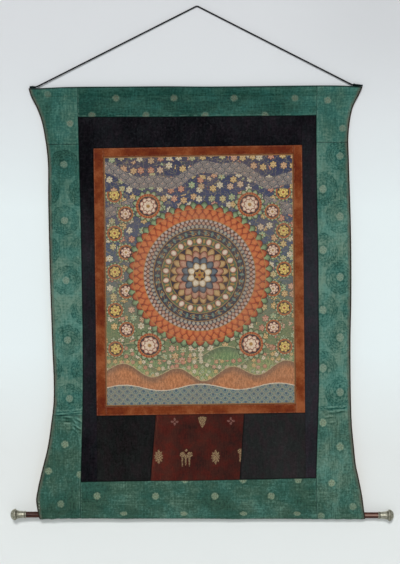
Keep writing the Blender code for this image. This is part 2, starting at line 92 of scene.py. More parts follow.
@dataclass(frozen=True)
class Line:
    """A smooth line through (place, value) points. Past its ends it runs straight on."""
    points: tuple[tuple[float, float], ...]
    shift: float = 0.0

    def at(self, place: Array) -> Array:
        """Read the line.

        Args:
            place: Where to read it, as drops for a line that runs down and as x for one that runs across.

        Returns:
            The values there.
        """
        places, values = np.array(self.points, float).T
        steps = np.diff(values) / np.diff(places)
        slopes = np.concatenate([steps[:1], (steps[:-1] + steps[1:]) / 2, steps[-1:]])
        i = np.clip(np.searchsorted(places, place, side="right") - 1, 0, len(places) - 2)
        span = places[i + 1] - places[i]
        t = np.clip((place - places[i]) / span, 0.0, 1.0)
        inside = (values[i] * (1 + 2 * t) * (1 - t) ** 2 + values[i + 1] * t * t * (3 - 2 * t)
                  + span * (slopes[i] * t * (1 - t) ** 2 - slopes[i + 1] * t * t * (1 - t)))
        before = slopes[0] * np.minimum(place - places[0], 0.0)
        after = slopes[-1] * np.maximum(place - places[-1], 0.0)
        return inside + before + after + self.shift

    def moved(self, distance: float) -> "Line":
        """Give the same line moved sideways by a distance."""
        return Line(self.points, self.shift + distance)


def line(*numbers: float) -> Line:
    """Make a line from the numbers of its points: place, value, place, value."""
    return Line(tuple(zip(numbers[::2], numbers[1::2])))


def ease(share: Array) -> Array:
    """Rise smoothly from 0 to 1."""
    share = np.clip(share, 0.0, 1.0)
    return share * share * (3 - 2 * share)


def bump(distance: Array, reach: float) -> Array:
    """Rise to 1 at distance 0, and die out over the reach."""
    return np.exp(-((distance / reach) ** 2))


def walk(path: Array) -> Array:
    """Measure how far along a path its points lie."""
    return np.concatenate([[0.0], np.cumsum(np.linalg.norm(np.diff(path, axis=0), axis=1))])


def angles_of(sides: int) -> Array:
    """Give the angles of the sides of a ring."""
    return np.arange(sides) * (math.tau / sides)


def smooth_path(route: Array, pitch: float) -> Array:
    """Lay a smooth curve through a route.

    Args:
        route: The points to go through, one a row.
        pitch: About how far apart the curve's points are.

    Returns:
        The curve's points, one a row.
    """
    points = [route[:1]]
    for i in range(len(route) - 1):
        before, start = route[max(i - 1, 0)], route[i]
        end, after = route[i + 1], route[min(i + 2, len(route) - 1)]
        span = np.linalg.norm(end - start)
        leave = (end - before) * (span / np.linalg.norm(end - before))
        arrive = (after - start) * (span / np.linalg.norm(after - start))
        count = max(1, round(span / pitch))
        t = (np.arange(1, count + 1) / count)[:, None]
        points.append(start * (1 + 2 * t) * (1 - t) ** 2 + end * t * t * (3 - 2 * t)
                      + leave * t * (1 - t) ** 2 - arrive * t * t * (1 - t))
    return np.concatenate(points)


LEFT_EDGE = line(
    219.5, -455.5, 245.0, -447.4, 270.5, -434.4, 303.0, -421.7, 351.5, -411.2, 416.3, -403.1, 524.3, -402.0,
    686.3, -398.5, 902.3, -391.8, 1064.3, -387.2, 1129.1, -394.2, 1193.9, -403.9, 1258.7, -419.9,
    1301.9, -429.6, 1333.0, -434.4, 1354.6, -432.0, 1373.5, -427.7, 1386.0, -424.2)
RIGHT_EDGE = line(
    216.0, 447.1, 238.1, 437.7, 270.5, 421.5, 303.0, 413.9, 351.5, 408.8, 416.3, 410.4, 578.3, 415.3,
    794.3, 416.9, 902.3, 414.5, 1064.3, 415.8, 1129.1, 418.2, 1193.9, 423.9, 1237.1, 428.5, 1280.3, 437.7,
    1323.5, 446.3, 1354.6, 450.4, 1386.0, 454.1)
TOP_FOLD = line(
    -455.5, 221.0, -443.0, 221.4, -430.0, 221.1, -353.7, 217.9, -191.7, 216.5, -78.3, 215.7, 19.0, 216.5,
    148.5, 215.5, 278.0, 213.9, 399.6, 214.1, 424.0, 215.6, 447.1, 216.8)
LEFT_LONG_SEAM = line(217.0, -322.7, 298.9, -321.3, 523.0, -315.4, 744.4, -310.8, 1019.8, -308.1,
                      1284.4, -313.5, 1386.0, -313.2)
RIGHT_LONG_SEAM = line(214.0, 324.0, 294.3, 322.1, 744.4, 327.8, 1019.8, 329.1, 1273.6, 322.1, 1386.0, 322.7)
LEFT_BORDER_SEAM = line(298.0, -281.0, 383.9, -279.7, 1105.4, -270.8, 1284.0, -269.5)
RIGHT_BORDER_SEAM = line(294.0, 282.2, 374.5, 283.5, 1097.0, 291.9, 1276.0, 293.8)
PAINTING_LEFT = line(406.6, -253.0, 1080.5, -246.0)
PAINTING_RIGHT = line(397.7, 260.3, 1073.5, 267.0)
DOOR_LEFT = line(1107.3, -111.8, 1281.8, -125.6)
DOOR_RIGHT = line(1102.7, 127.2, 1278.0, 115.6)
BLACK_TOP_SEAM = line(-321.3, 298.9, -140.0, 298.6, 60.0, 297.2, 322.1, 294.3)
BLACK_BOTTOM_SEAM = line(-313.5, 1284.4, -160.0, 1281.6, 0.0, 1280.3, 322.1, 1273.6)
BORDER_TOP_SEAM = line(-279.7, 383.9, 283.5, 374.5)
BORDER_BOTTOM_SEAM = line(-270.8, 1105.4, 291.9, 1097.0)
PAINTING_TOP = line(-253.0, 406.6, 260.3, 397.7)
PAINTING_BOTTOM = line(-246.0, 1080.5, 267.0, 1073.5)
FLARE_TOP_LEFT_SEAM = line(-411.0, 373.5, -319.5, 372.2)
FLARE_TOP_RIGHT_SEAM = line(323.0, 367.0, 409.0, 367.2)
FLARE_BOTTOM_LEFT_SEAM = line(-392.0, 1105.0, -309.0, 1106.0)
FLARE_BOTTOM_RIGHT_SEAM = line(328.0, 1091.5, 417.0, 1092.6)
STAVE_STITCHES = line(-455.0, 243.5, 447.0, 239.5)
STAVE_TOP = line(-451.0, 224.5, 443.0, 220.5)
STAVE_HEIGHT = 8.0
ROD_AXIS = line(-461.7, 1372.7, 489.5, 1374.6)       # to where the rod enters its knobs
ROD_STITCHES = ROD_AXIS.moved(-13.7)
ROD_RADIUS = 8.1
ROD_BACK = 3.0                # the rod's axis lies behind the cloth's middle
ROD_ENDS = np.array([(x, ROD_BACK, drop) for x, drop in ROD_AXIS.points])

# Fine ridges where the cloth is drawn beside a seam: x and drop of both ends, and height
PULLS = (
    (-369.0, 1101.5, -311.0, 1096.5, 1.3), (-361.0, 1109.5, -336.0, 1111.0, 1.3),
    (-360.0, 1123.5, -339.0, 1123.5, -1.4), (-337.0, 1113.5, -326.0, 1130.5, 1.3),
    (-325.0, 1113.5, -311.0, 1124.0, 1.3), (-334.0, 1129.5, -314.5, 1143.5, 1.4),
    (-336.0, 1138.5, -323.5, 1151.0, 1.1), (-382.0, 1094.5, -335.0, 1094.0, 1.0),
    (-334.0, 1093.0, -309.0, 1089.0, 1.0), (-380.0, 1102.5, -357.0, 1103.0, 0.8),
    (350.0, 1085.0, 389.0, 1082.5, 1.3), (376.0, 1096.0, 396.0, 1090.5, 1.7),
    (353.0, 1096.5, 371.0, 1096.0, 1.0), (389.0, 1088.0, 403.0, 1079.0, 1.4),
    (344.0, 1111.0, 367.0, 1107.5, 0.8), (356.5, 1125.0, 373.0, 1123.0, 0.8),
)


@dataclass(frozen=True)
class HangingSurface:
    """The middle of the hanging cloth: waves kept from rolling, a curl of the loose edges, and puckers."""
    roll_height: float = 1.5
    roll_length: float = 310.0
    cross_height: float = 0.9
    cross_length: float = 540.0
    lean: float = 420.0           # width or drop over which the waves shift by one radian
    curl_height: float = 5.0
    curl_drop: float = 1215.0
    curl_reach: float = 120.0
    waist: float = 330.0
    flare: float = 125.5
    pucker_height: float = 1.0
    pucker_length: float = 27.0
    pucker_reach: float = 15.0
    fade_length: float = 90.0     # waves die out over this length next to a sleeve
    crease_height: float = 0.16   # fine creases across, from rolling
    crease_length: float = 43.0
    gather_height: float = 0.3    # small gathers next to the running stitches
    gather_length: float = 14.0
    gather_reach: float = 17.0
    gather_shift: float = 57.0    # between those of the two sleeves
    stave_share: float = 0.6      # how strong they are below the stave
    pull_reach: float = 2.3

    def back(self, x: Array, drop: Array) -> Array:
        """Say how far the cloth's middle lies behind its plane, in front being negative.

        Args:
            x: Places across the mount.
            drop: How far down they lie.

        Returns:
            How far back the cloth lies there.
        """
        below_stave = drop - STAVE_STITCHES.at(x)
        above_rod = ROD_STITCHES.at(x) - drop
        fade = ease(below_stave / self.fade_length) * ease(above_rod / self.fade_length)
        wave = self.roll_height * np.sin(math.tau * drop / self.roll_length + x / self.lean)
        cross = self.cross_height * np.sin(math.tau * x / self.cross_length + drop / self.lean)
        beyond_waist = np.maximum(np.abs(x) - self.waist, 0.0) / self.flare
        curl = self.curl_height * ease(beyond_waist) * bump(drop - self.curl_drop, self.curl_reach)
        seam = np.where(x < 0, FLARE_BOTTOM_LEFT_SEAM.at(x), FLARE_BOTTOM_RIGHT_SEAM.at(x))
        sides = ease((np.abs(x) - self.waist + self.pucker_length) / self.pucker_length)
        pucker = (self.pucker_height * bump(drop - seam, self.pucker_reach)
                  * np.sin(math.tau * x / self.pucker_length) * sides)
        patch = 0.5 + 0.5 * np.sin(drop / 29.0 + 1.9 * np.sin(x / 97.0))
        bend = 1.4 * np.sin(x / 160.0)
        crease = self.crease_height * patch * np.sin(math.tau * drop / self.crease_length + bend)
        return (-fade * (wave + cross + curl + pucker + crease)
                - self._gathers(x, below_stave) * self.stave_share
                - self._gathers(x + self.gather_shift, above_rod) - self.drawn(x, drop))

    def drawn(self, x: Array, drop: Array) -> Array:
        """Give the height of the fine ridges beside the flares' seams, toward the front.

        Args:
            x: Places across the mount.
            drop: How far down they lie.

        Returns:
            The height there.
        """
        height = 0.0 * (x + drop)
        for start_x, start_drop, end_x, end_drop, ridge in PULLS:
            way_x, way_drop = end_x - start_x, end_drop - start_drop
            share = ((x - start_x) * way_x + (drop - start_drop) * way_drop) / (way_x ** 2 + way_drop ** 2)
            share = np.clip(share, 0, 1)
            away = np.hypot(x - start_x - share * way_x, drop - start_drop - share * way_drop)
            height = height + ridge * (0.35 + 0.65 * np.sin(np.pi * share)) * bump(away, self.pull_reach)
        return height

    def gather_waves(self, x: Array) -> Array:
        """Give the uneven waves of the gathers along a line of running stitches."""
        return np.sin(math.tau * x / self.gather_length + 2.3 * np.sin(x / 61.0))

    def _gathers(self, x: Array, distance: Array) -> Array:
        """Give the height of the gathers at a distance from a line of running stitches."""
        height = self.gather_height * self.gather_waves(x)
        return height * ease(distance / 4.0) * bump(distance, self.gather_reach)


SURFACE = HangingSurface()


def arc(back: float, drop: Array, radius: Array, start: Array, end: Array, steps: int) -> list:
    """List (back, drop) places on an arc.

    Args:
        back: How far back the middle of the arc lies.
        drop: Its drop.
        radius: The arc's radius.
        start: Angle at which it starts; 0 points to the back and 90 degrees down.
        end: Angle at which it ends.
        steps: The number of steps.

    Returns:
        The places, from start to end.
    """
    angles = [np.radians(start + (end - start) * step / steps) for step in range(steps + 1)]
    return [(back + radius * np.cos(angle), drop + radius * np.sin(angle)) for angle in angles]


def straight(start: tuple, end: tuple, steps: int) -> list:
    """List the places between two places, without both ends."""
    return [tuple(a + (b - a) * step / steps for a, b in zip(start, end)) for step in range(1, steps)]


@dataclass(frozen=True)
class Sleeve:
    """Cloth that is turned over and stitched down as a sleeve."""
    stitches: Line
    way: int                      # -1 above its stitches, and 1 below them
    clearance: float = 0.5
    arc_steps: int = 20

    def section(self, x: Array) -> list:
        """List the (back, drop) places of the sleeve at x, from the top of the flat cloth down."""
        raise NotImplementedError

    def rows(self) -> list[Row]:
        """Give the sleeve's rows, from the top of the flat cloth down."""
        return [partial(self._place, i) for i in range(len(self.section(np.zeros(1))))]

    def _place(self, i: int, x: Array) -> Places:
        """Place a row, and measure along the cloth how far from the stitches it lies.

        Args:
            i: Which row it is.
            x: Places across the mount.

        Returns:
            How far back the row is, its drop, and its drop as if the cloth was laid flat.
        """
        section, stitch = self.section(x), self.stitches.at(x)
        places = [(0.0 * x, stitch), *(section[:i + 1] if self.way > 0 else reversed(section[i:]))]
        length = sum(np.hypot(b[0] - a[0], b[1] - a[1]) for a, b in zip(places, places[1:]))
        return *section[i], stitch + self.way * length


@dataclass(frozen=True)
class StaveSleeve(Sleeve):
    """The cloth folded over the top stave, from its inner flap over the fold down to its stitches."""
    stitches: Line = STAVE_STITCHES
    way: int = -1
    depth: float = 6.0

    def section(self, x: Array) -> list:
        """List the places from the flap to just above the stitches.

        Args:
            x: Places across the mount.

        Returns:
            The (back, drop) places.
        """
        level = 0.0 * x
        stitch = self.stitches.at(x)
        radius = self.depth / 2 + self.clearance + SILK_THICKNESS / 2
        fold = TOP_FOLD.at(x) + SILK_THICKNESS / 2
        below_stave = STAVE_TOP.at(x) + STAVE_HEIGHT
        flap_end = stitch + FLAP_LENGTH
        flap = (LAYER_PITCH + SURFACE.back(x, flap_end), flap_end)
        seam = (LAYER_PITCH + level, stitch)
        rear, front = (radius + level, below_stave), (level - radius, below_stave)
        return [flap, *straight(flap, seam, 3), seam, *straight(seam, rear, 4), rear,
                *arc(0.0, fold + radius, radius, level, level - 180.0, self.arc_steps),
                front, *straight(front, (level, stitch), 4)]


@dataclass(frozen=True)
class RodSleeve(Sleeve):
    """The cloth round the roller rod, from just below its stitches round to its inner flap."""
    stitches: Line = ROD_STITCHES
    way: int = 1
    arc_steps: int = 30
    gather: float = 0.5           # slack where the sleeve's ends are gathered
    gather_length: float = 31.0
    gather_start: float = 250.0
    gather_growth: float = 100.0
    fine_gather: float = 0.22
    bulges: tuple[tuple[float, float, float], ...] = (    # x, height and reach of the larger folds
        (-416.0, 2.6, 11.0), (-389.0, 1.8, 9.0), (-197.0, 1.0, 30.0), (102.0, 0.9, 30.0))

    def section(self, x: Array) -> list:
        """List the places from below the stitches to the flap's end.

        Args:
            x: Places across the mount.

        Returns:
            The (back, drop) places.
        """
        growth = self.gather * ease((np.abs(x) - self.gather_start) / self.gather_growth)
        slack = growth * (1 + np.sin(math.tau * x / self.gather_length))
        slack = slack + self.fine_gather * (1 + SURFACE.gather_waves(x + SURFACE.gather_shift))
        for place, height, reach in self.bulges:
            slack = slack + height * bump(x - place, reach)
        radius = ROD_RADIUS + self.clearance + SILK_THICKNESS / 2 + slack
        axis, stitch = ROD_AXIS.at(x), self.stitches.at(x)
        flap_end = stitch - FLAP_LENGTH
        front = self._tangent(-ROD_BACK, axis - stitch, radius, -1)
        rear = self._tangent(LAYER_PITCH - ROD_BACK, axis - stitch, radius, 1)
        start, seam = (0.0 * x, stitch), (LAYER_PITCH + 0.0 * x, stitch)
        flap = (LAYER_PITCH + SURFACE.back(x, flap_end), flap_end)
        round_rod = arc(ROD_BACK, axis, radius, front, rear - 360.0, self.arc_steps)
        return [*straight(start, round_rod[0], 3), *round_rod, *straight(round_rod[-1], seam, 3), seam,
                *straight(seam, flap, 3), flap]

    @staticmethod
    def _tangent(back: float, rise: Array, radius: Array, side: int) -> Array:
        """Find where cloth that comes from its stitches meets the round of the sleeve, in degrees."""
        toward_stitch = np.degrees(np.arctan2(-rise, back))
        return toward_stitch + side * np.degrees(np.arccos(radius / np.hypot(back, rise)))


def shares_between(width: float, fine: tuple[bool, bool] = (True, True),
                   close: tuple[float, float] = (0.0, 0.0)) -> list[float]:
    """Share out a width into grid steps that are finer next to a seam.

    Args:
        width: The width.
        fine: Whether there is a seam at its start and at its end.
        close: How far from the start and the end the steps between them are closer than the others.

    Returns:
        The places, as shares of the width.
    """
    start = EDGE_STEPS if fine[0] else (0.0,)
    end = [width - step for step in reversed(EDGE_STEPS)] if fine[1] else [width]
    stops = (start[-1], start[-1] + close[0], end[0] - close[1], end[0])
    places = list(start)
    for first, last, pitch in zip(stops, stops[1:], (CLOSE_PITCH, GRID_PITCH, CLOSE_PITCH)):
        if last > first:
            places += list(np.linspace(first, last, max(1, round((last - first) / pitch)) + 1)[1:])
    return [float(place) / width for place in (*places, *end[1:])]


def flat_rows(upper: Line, lower: Line, height: float, fine: tuple[bool, bool] = (True, True),
              close: tuple[float, float] = (0.0, 0.0)) -> list[Row]:
    """Give rows of the hanging cloth from one line to another.

    Args:
        upper: The line across at the top.
        lower: The line across at the bottom.
        height: About how far apart they are.
        fine: Whether the upper and the lower line are seams.
        close: How far from the upper and the lower line the rows lie closer together.

    Returns:
        The rows, top to bottom.
    """
    def place(share: float, x: Array) -> Places:
        """Place the row at a share of the way down."""
        drop = upper.at(x) + (lower.at(x) - upper.at(x)) * share
        return SURFACE.back(x, drop), drop, drop
    return [partial(place, share) for share in shares_between(height, fine, close)]


def settle(row: Row, across: Callable[[Array], Array]) -> tuple[Array, Array, Array, Array]:
    """Find where a row crosses lines that run down.

    Args:
        row: The row.
        across: Gives the lines' x at a drop.

    Returns:
        Their x on the row, how far back it is there, the drop, and the drop as laid flat.
    """
    drop = row(np.zeros(1))[1]
    for _ in range(4):
        x = across(drop)
        back, drop, lay = row(x)
    return x, back, drop, lay


# Shader writing

Operand = Union["Wire", float, tuple]


def linear(*shown: float) -> Colour:
    """Turn a colour as shown on a screen into a linear one."""
    return tuple(((c + 0.055) / 1.055) ** 2.4 if c > 0.04045 else c / 12.92 for c in shown)


def stops(*rows: tuple[float, ...]) -> list[tuple[float, Colour]]:
    """Make a ramp's stops from rows of a place and the colour that shows there."""
    return [(place, linear(*shown)) for place, *shown in rows]


def maths(operation: str, swapped: bool = False) -> Callable[..., "Wire"]:
    """Make a method that adds a Math node, or a Vector Math node where an operand is a vector or a colour.

    Args:
        operation: The node's operation.
        swapped: Whether the method's own wire is the second operand.

    Returns:
        The method.
    """
    def method(*operands: Operand) -> "Wire":
        """Add the node, and give its output."""
        nodes = operands[0].nodes
        operands = operands[::-1] if swapped else operands
        vectors = [isinstance(o, tuple) or isinstance(o, Wire) and o.socket.type != "VALUE" for o in operands]
        if operation == "MULTIPLY" and any(vectors) and not all(vectors):
            vector, number = operands if vectors[0] else operands[::-1]
            return nodes.add("VectorMath", {0: vector, "Scale": number}, operation="SCALE")
        kind = "VectorMath" if any(vectors) else "Math"
        return nodes.add(kind, dict(enumerate(operands)), operation=operation)
    return method


class Wire:
    """A node's output, with the arithmetic that the finishes are written in."""

    def __init__(self, nodes: "Nodes", socket: bpy.types.NodeSocket | None) -> None:
        """Keep the output and the nodes that it belongs to."""
        self.nodes = nodes
        self.socket = socket

    __add__ = __radd__ = maths("ADD")
    __sub__ = maths("SUBTRACT")
    __rsub__ = maths("SUBTRACT", swapped=True)
    __mul__ = __rmul__ = maths("MULTIPLY")
    __pow__ = maths("POWER")
    __abs__ = maths("ABSOLUTE")
    sine = maths("SINE")
    cosine = maths("COSINE")
    fraction = maths("FRACT")
    whole = maths("FLOOR")        # rounds down
    most = maths("MAXIMUM")
    least = maths("MINIMUM")
    angle = maths("ARCTAN2")      # y.angle(x) is the angle of a place

    def rise(self, start: float, end: float) -> "Wire":
        """Go smoothly from 0 at start to 1 at end; start may be the larger."""
        return self.nodes.add("MapRange", {"Value": self, "From Min": start, "From Max": end},
                              interpolation_type="SMOOTHSTEP")

    def near(self, value: float, reach: float) -> "Wire":
        """Give 1 at a value, falling to 0 at the reach on both sides."""
        return abs(self - value).rise(reach, 0.0)

    def length(self) -> "Wire":
        """Measure a vector."""
        return self.nodes.add("VectorMath", {0: self}, output="Value", operation="LENGTH")

    def parts(self) -> tuple["Wire", ...]:
        """Split a vector."""
        node = self.nodes.add("SeparateXYZ", {0: self}).socket.node
        return tuple(Wire(self.nodes, output) for output in node.outputs)

    def mix(self, first: Operand, second: Operand) -> "Wire":
        """Go from a first colour to a second where this is 1."""
        return self.nodes.add("Mix", {0: self, 6: first, 7: second}, 2, data_type="RGBA")

    def pick(self, first: float, second: float) -> "Wire":
        """Go from a first value to a second where this is 1."""
        return self.nodes.add("Mix", {0: self, 2: first, 3: second}, data_type="FLOAT")

    def ramp(self, *stops: tuple[float, Colour]) -> "Wire":
        """Colour a tone by a ramp.

        Args:
            stops: The lowest stop, the highest one, and those between them.

        Returns:
            The colour.
        """
        result = self.nodes.add("ValToRGB", {0: self})
        elements = result.socket.node.color_ramp.elements
        for i, (place, colour) in enumerate(stops):
            stop = elements[i] if i < 2 else elements.new(place)
            stop.position = place
            stop.color = (*colour, 1.0)
        return result

    def noise(self, size: float | tuple[float, float, float], detail: float = 3.0) -> "Wire":
        """Give cloudy noise, from about 0.25 to 0.75.

        Args:
            size: The size of its clouds in millimetres, or their sizes along the three axes.
            detail: How many finer layers it has.

        Returns:
            The noise.
        """
        sizes = size if isinstance(size, tuple) else (size,) * 3
        sockets = {"Vector": self * tuple(1.0 / part for part in sizes), "Scale": 1.0, "Roughness": 0.55}
        return self.nodes.add("TexNoise", {**sockets, "Detail": detail})

    def cells(self, size: float, feature: str = "F1", output: str = "Distance", **sockets: float) -> "Wire":
        """Give a pattern of cells of a size: the distance to a cell's middle or edge, or its colour."""
        return self.nodes.add("TexVoronoi", {"Vector": self * (1 / size), "Scale": 1.0, **sockets}, output,
                              feature=feature)


def vector(x: Wire, y: Wire) -> Wire:
    """Join two values into a place."""
    return x.nodes.add("CombineXYZ", {0: x, 1: y, 2: 0.0})


class Nodes:
    """The node tree of one material."""

    def __init__(self, name: str) -> None:
        """Make the material with an empty tree."""
        self.material = bpy.data.materials.new(name)
        self.material.use_nodes = True
        self.tree = self.material.node_tree
        self.tree.nodes.clear()

    def add(self, kind: str, sockets: dict[int | str, Operand], output: int | str = 0,
            **settings: object) -> Wire:
        """Add a node.

        Args:
            kind: Its type, without the leading ShaderNode.
            sockets: Values or links for its inputs.
            output: Which output to give.
            settings: Its settings, which are set first.

        Returns:
            The output.
        """
        node = self.tree.nodes.new("ShaderNode" + kind)
        for name, value in settings.items():
            setattr(node, name, value)
        for name, value in sockets.items():
            socket = node.inputs[name]
            if isinstance(value, Wire):
                self.tree.links.new(value.socket, socket)
            else:
                socket.default_value = (*value, 1.0) if socket.type == "RGBA" else value
        return Wire(self, node.outputs[output] if node.outputs else None)

    def attribute(self, name: str, output: str = "Vector") -> Wire:
        """Read what a piece's mesh says under a name."""
        return self.add("Attribute", {}, output, attribute_name=name)

    def place(self) -> Wire:
        """Give places in the piece, in millimetres."""
        return self.add("TexCoord", {}, "Object") * (1 / MM)

    def surface(self, base: Wire, roughness: Wire, relief: Wire, depth: float, **constants: float) -> None:
        """Finish the tree with a surface.

        Args:
            base: Its colour.
            roughness: Its roughness.
            relief: The height of its bumps, from 0 to about 1.
            depth: How high 1 is, in millimetres.
            constants: Other inputs of the Principled node, with underlines for blanks.
        """
        normal = self.add("Bump", {"Height": relief, "Distance": depth * MM, "Strength": 1.0})
        sockets = {name.replace("_", " "): value for name, value in constants.items()}
        sockets |= {"Base Color": base, "Roughness": roughness, "Normal": normal}
        self.add("OutputMaterial", {"Surface": self.add("BsdfPrincipled", sockets)})


class Cloth:
    """What a cloth's finish starts from: its own coordinates, fading, motifs and distances from its edges."""

    def __init__(self, nodes: Nodes) -> None:
        """Read the coordinates and the distances from the mesh."""
        self.nodes = nodes
        self.lay = nodes.attribute("lay")
        self.left, self.right, self.top = nodes.attribute("edge", "Color").parts()
        self.bottom = nodes.attribute("edge", "Alpha")
        self.edge = self.left.least(self.right).least(self.top).least(self.bottom)

    @property
    def fade(self) -> Wire:
        """Read how faded the cloth is."""
        return self.nodes.attribute("fade", "Fac")

    @property
    def motif(self) -> tuple[Wire, ...]:
        """Read the place across and up from the nearest motif, and its kind."""
        return self.nodes.attribute("motif").parts()

    def weave(self, pitch: float) -> Wire:
        """Give the height of the threads of a plain weave."""
        x, y, _ = (self.lay * (math.tau / pitch)).parts()
        return x.sine() * y.sine() * 0.5 + 0.5


class Around(NamedTuple):
    """Places round a middle: their distance from it, and their angle."""
    r: Wire
    turn: Wire

    @classmethod
    def at(cls, x: Wire, y: Wire) -> "Around":
        """Measure from the places across and up."""
        return cls(vector(x, y).length(), y.angle(x))

    def petals(self, count: int, inner: float, outer: float, half_width: float, shift: float = 0.0) -> Wire:
        """Draw a ring of pointed petals.

        Args:
            count: The number of petals.
            inner: Where they start.
            outer: Where they end.
            half_width: Half the width of one.
            shift: The angle by which they are turned.

        Returns:
            How far inside a petal a place is, from 0 at its outline to 1 in its middle.
        """
        share = (self.turn + shift if shift else self.turn) * (count / math.tau)
        across = (share - share.whole() - 0.5) * self.r * (math.tau / count / half_width)
        along = (self.r - (inner + outer) / 2) * (2 / (outer - inner))
        return 1 - abs(across) ** 1.6 - along * along


@dataclass(frozen=True)
class Finish:
    """What a surface is made of: a slot of the record, and a method that writes its nodes."""
    slot: str

    def write(self, nodes: Nodes) -> None:
        """Write the nodes of this finish."""
        raise NotImplementedError


@cache
def material_of(finish: Finish) -> bpy.types.Material:
    """Make a finish's material, once."""
    nodes = Nodes(finish.slot + "_" + type(finish).__name__.lower())
    finish.write(nodes)
    return nodes.material


@dataclass(frozen=True)
class GreenDamask(Finish):
    """Green silk damask, with woven roundels that have a pale disc in the middle."""
    slot: str = "green_damask"
    deep: Colour = linear(0.035, 0.205, 0.17)
    middle: Colour = linear(0.185, 0.355, 0.315)
    pale: Colour = linear(0.375, 0.505, 0.45)
    dull_disc: Colour = linear(0.37, 0.44, 0.37)
    bright_disc: Colour = linear(0.53, 0.60, 0.52)
    disc_mark: Colour = linear(0.31, 0.31, 0.25)
    rim: Colour = linear(0.33, 0.325, 0.28)
    # painted shade laid into the seams, and along the fold and stitches of the top sleeve
    seam: Colour = (0.004, 0.014, 0.012)
    disc_radius: float = 8.9
    heart: float = 4.5            # the darker middle of a disc
    boldness: float = 1.0         # how strongly the roundels show
    roundel_radius: float = 40.0

    def write(self, nodes: Nodes) -> None:
        """Write the nodes of this finish."""
        cloth = Cloth(nodes)
        lay, fade, noise = cloth.lay, cloth.fade, cloth.lay.noise
        dx, dy, kind = cloth.motif
        r, turn = Around.at(dx, dy)
        x, y, _ = lay.parts()
        wobble = (noise(13) - 0.5) * 4.5
        rough_r = r + wobble
        known = kind.rise(0.02, 0.10)
        inside = rough_r.rise(self.roundel_radius + 1.5, self.roundel_radius - 1.5) * known
        bold = (noise(60, 2).rise(0.36, 0.60) * 0.5 + 0.5) * self.boldness
        # The figure of a roundel: an outer wreath, a ring of curls, a rosette, and a ring round the disc
        wreath = (turn * 22.0 + (r * 0.8).sine() * 1.6).sine().rise(-0.1, 0.4) * rough_r.near(34.0, 4.5)
        curl = (turn * 8.0 + r * 0.42).sine() * (r * 0.55 + (turn * 8.0).cosine() * 1.2).sine()
        curls = curl.rise(0.0, 0.3) * rough_r.near(23.5, 7.0)
        rosette = (turn * 8.0).cosine().rise(-0.2, 0.3) * rough_r.near(14.5, 3.2)
        dashes = (turn * 9.0 + 1.1).sine().rise(-0.75, -0.3)
        rings = (rough_r.near(self.roundel_radius - 1.6, 2.3) * dashes).most(rough_r.near(28.5, 1.4)) \
            .most(r.near(self.disc_radius + 2.9, 2.2))
        figure = wreath.most(curls).most(rosette).most(rings) * inside
        # The ground between the roundels: a small fret in broken patches
        fret = ((x * (math.tau / 11.0)).sine() + (y * (math.tau / 8.3)).sine()).rise(0.3, 0.8) \
            * noise(33, 2).rise(0.40, 0.58) * (1 - inside)
        cloud, streak = noise((85, 120, 85), 4) - 0.5, noise((2.8, 36, 10)) - 0.5
        weft, fleck = noise((32, 2.4, 10), 2) - 0.5, noise((6.0, 7.0, 6)) - 0.5
        band = noise((26, 130, 40)) - 0.5
        # painted light and shade on the drawn ridges: the tone rises where a ridge faces up and falls where
        # it faces down
        drawn = nodes.attribute("drawn", "Fac")
        tone = fade + cloud * 0.8 + streak * 0.7 + weft * 0.45 + fleck * 0.85 + band * 0.5 \
            - figure * 0.39 * bold - inside * 0.15 * bold - fret * 0.16 + 0.10 + drawn * 0.55
        colour = tone.ramp((0.0, self.deep), (1.0, self.pale), (0.5, self.middle))
        colour = colour * noise((40, 52, 40)).rise(0.34, 0.66).mix((0.80, 1.0, 1.03), (1.14, 1.0, 0.95))
        # Pale disc, worn in places
        worn, ragged = noise(3.2).rise(0.33, 0.55), (noise(4.5, 1) - 0.5) * 7.0
        disc = (rough_r - wobble * 0.55 + ragged).rise(self.disc_radius + 2.4, self.disc_radius - 2.0)
        heart = r.rise(self.heart, self.heart - 2.5)
        mark = (r * 0.9 + 1.2).cosine() * 0.45 + (turn * 5.0).sine() * 0.35 + heart * 0.6
        disc_colour = fade.mix(self.dull_disc, self.bright_disc)
        disc_colour = (mark.rise(0.1, 0.9) * 0.75).mix(disc_colour, self.disc_mark)
        colour = (disc * (0.36 + worn * 0.46) * kind * known).mix(colour, disc_colour)
        # Seams and outer edges: a painted highlight as a broken pale line beside the seams, a paler rim along
        # the outer edges, and painted shade in the seams and along the fold and stitches of the top sleeve
        glint_and_rim_patches = noise((7, 22, 7)).rise(0.42, 0.60)
        glint = cloth.left.least(cloth.right).least(cloth.bottom).near(3.4, 2.6) * glint_and_rim_patches
        colour = (glint * 0.42).mix(colour, self.pale)
        colour = (nodes.attribute("outer", "Fac").rise(10.0, 2.5) * (0.45 + glint_and_rim_patches * 0.40)).mix(colour, self.rim)
        # how strongly the painted shade shows: broken up along the seams, and full at the top fold
        seam_shade_strength = noise(26, 2).rise(0.36, 0.52).most(cloth.top.rise(0.5, 0.3)) * 0.45 + 0.45
        seam = cloth.edge.rise(2.1, 0.0)
        colour = (seam * seam_shade_strength).mix(colour, self.seam)
        relief = cloth.weave(0.95) * 0.25 + figure * 0.45 + disc * 0.6 + streak * 0.5 + fleck * 0.6
        nodes.surface(colour, 0.66 - figure * 0.16 - disc * 0.12 + fleck * 0.2, relief - seam * 0.5, 0.10,
                      Specular_IOR_Level=0.10)


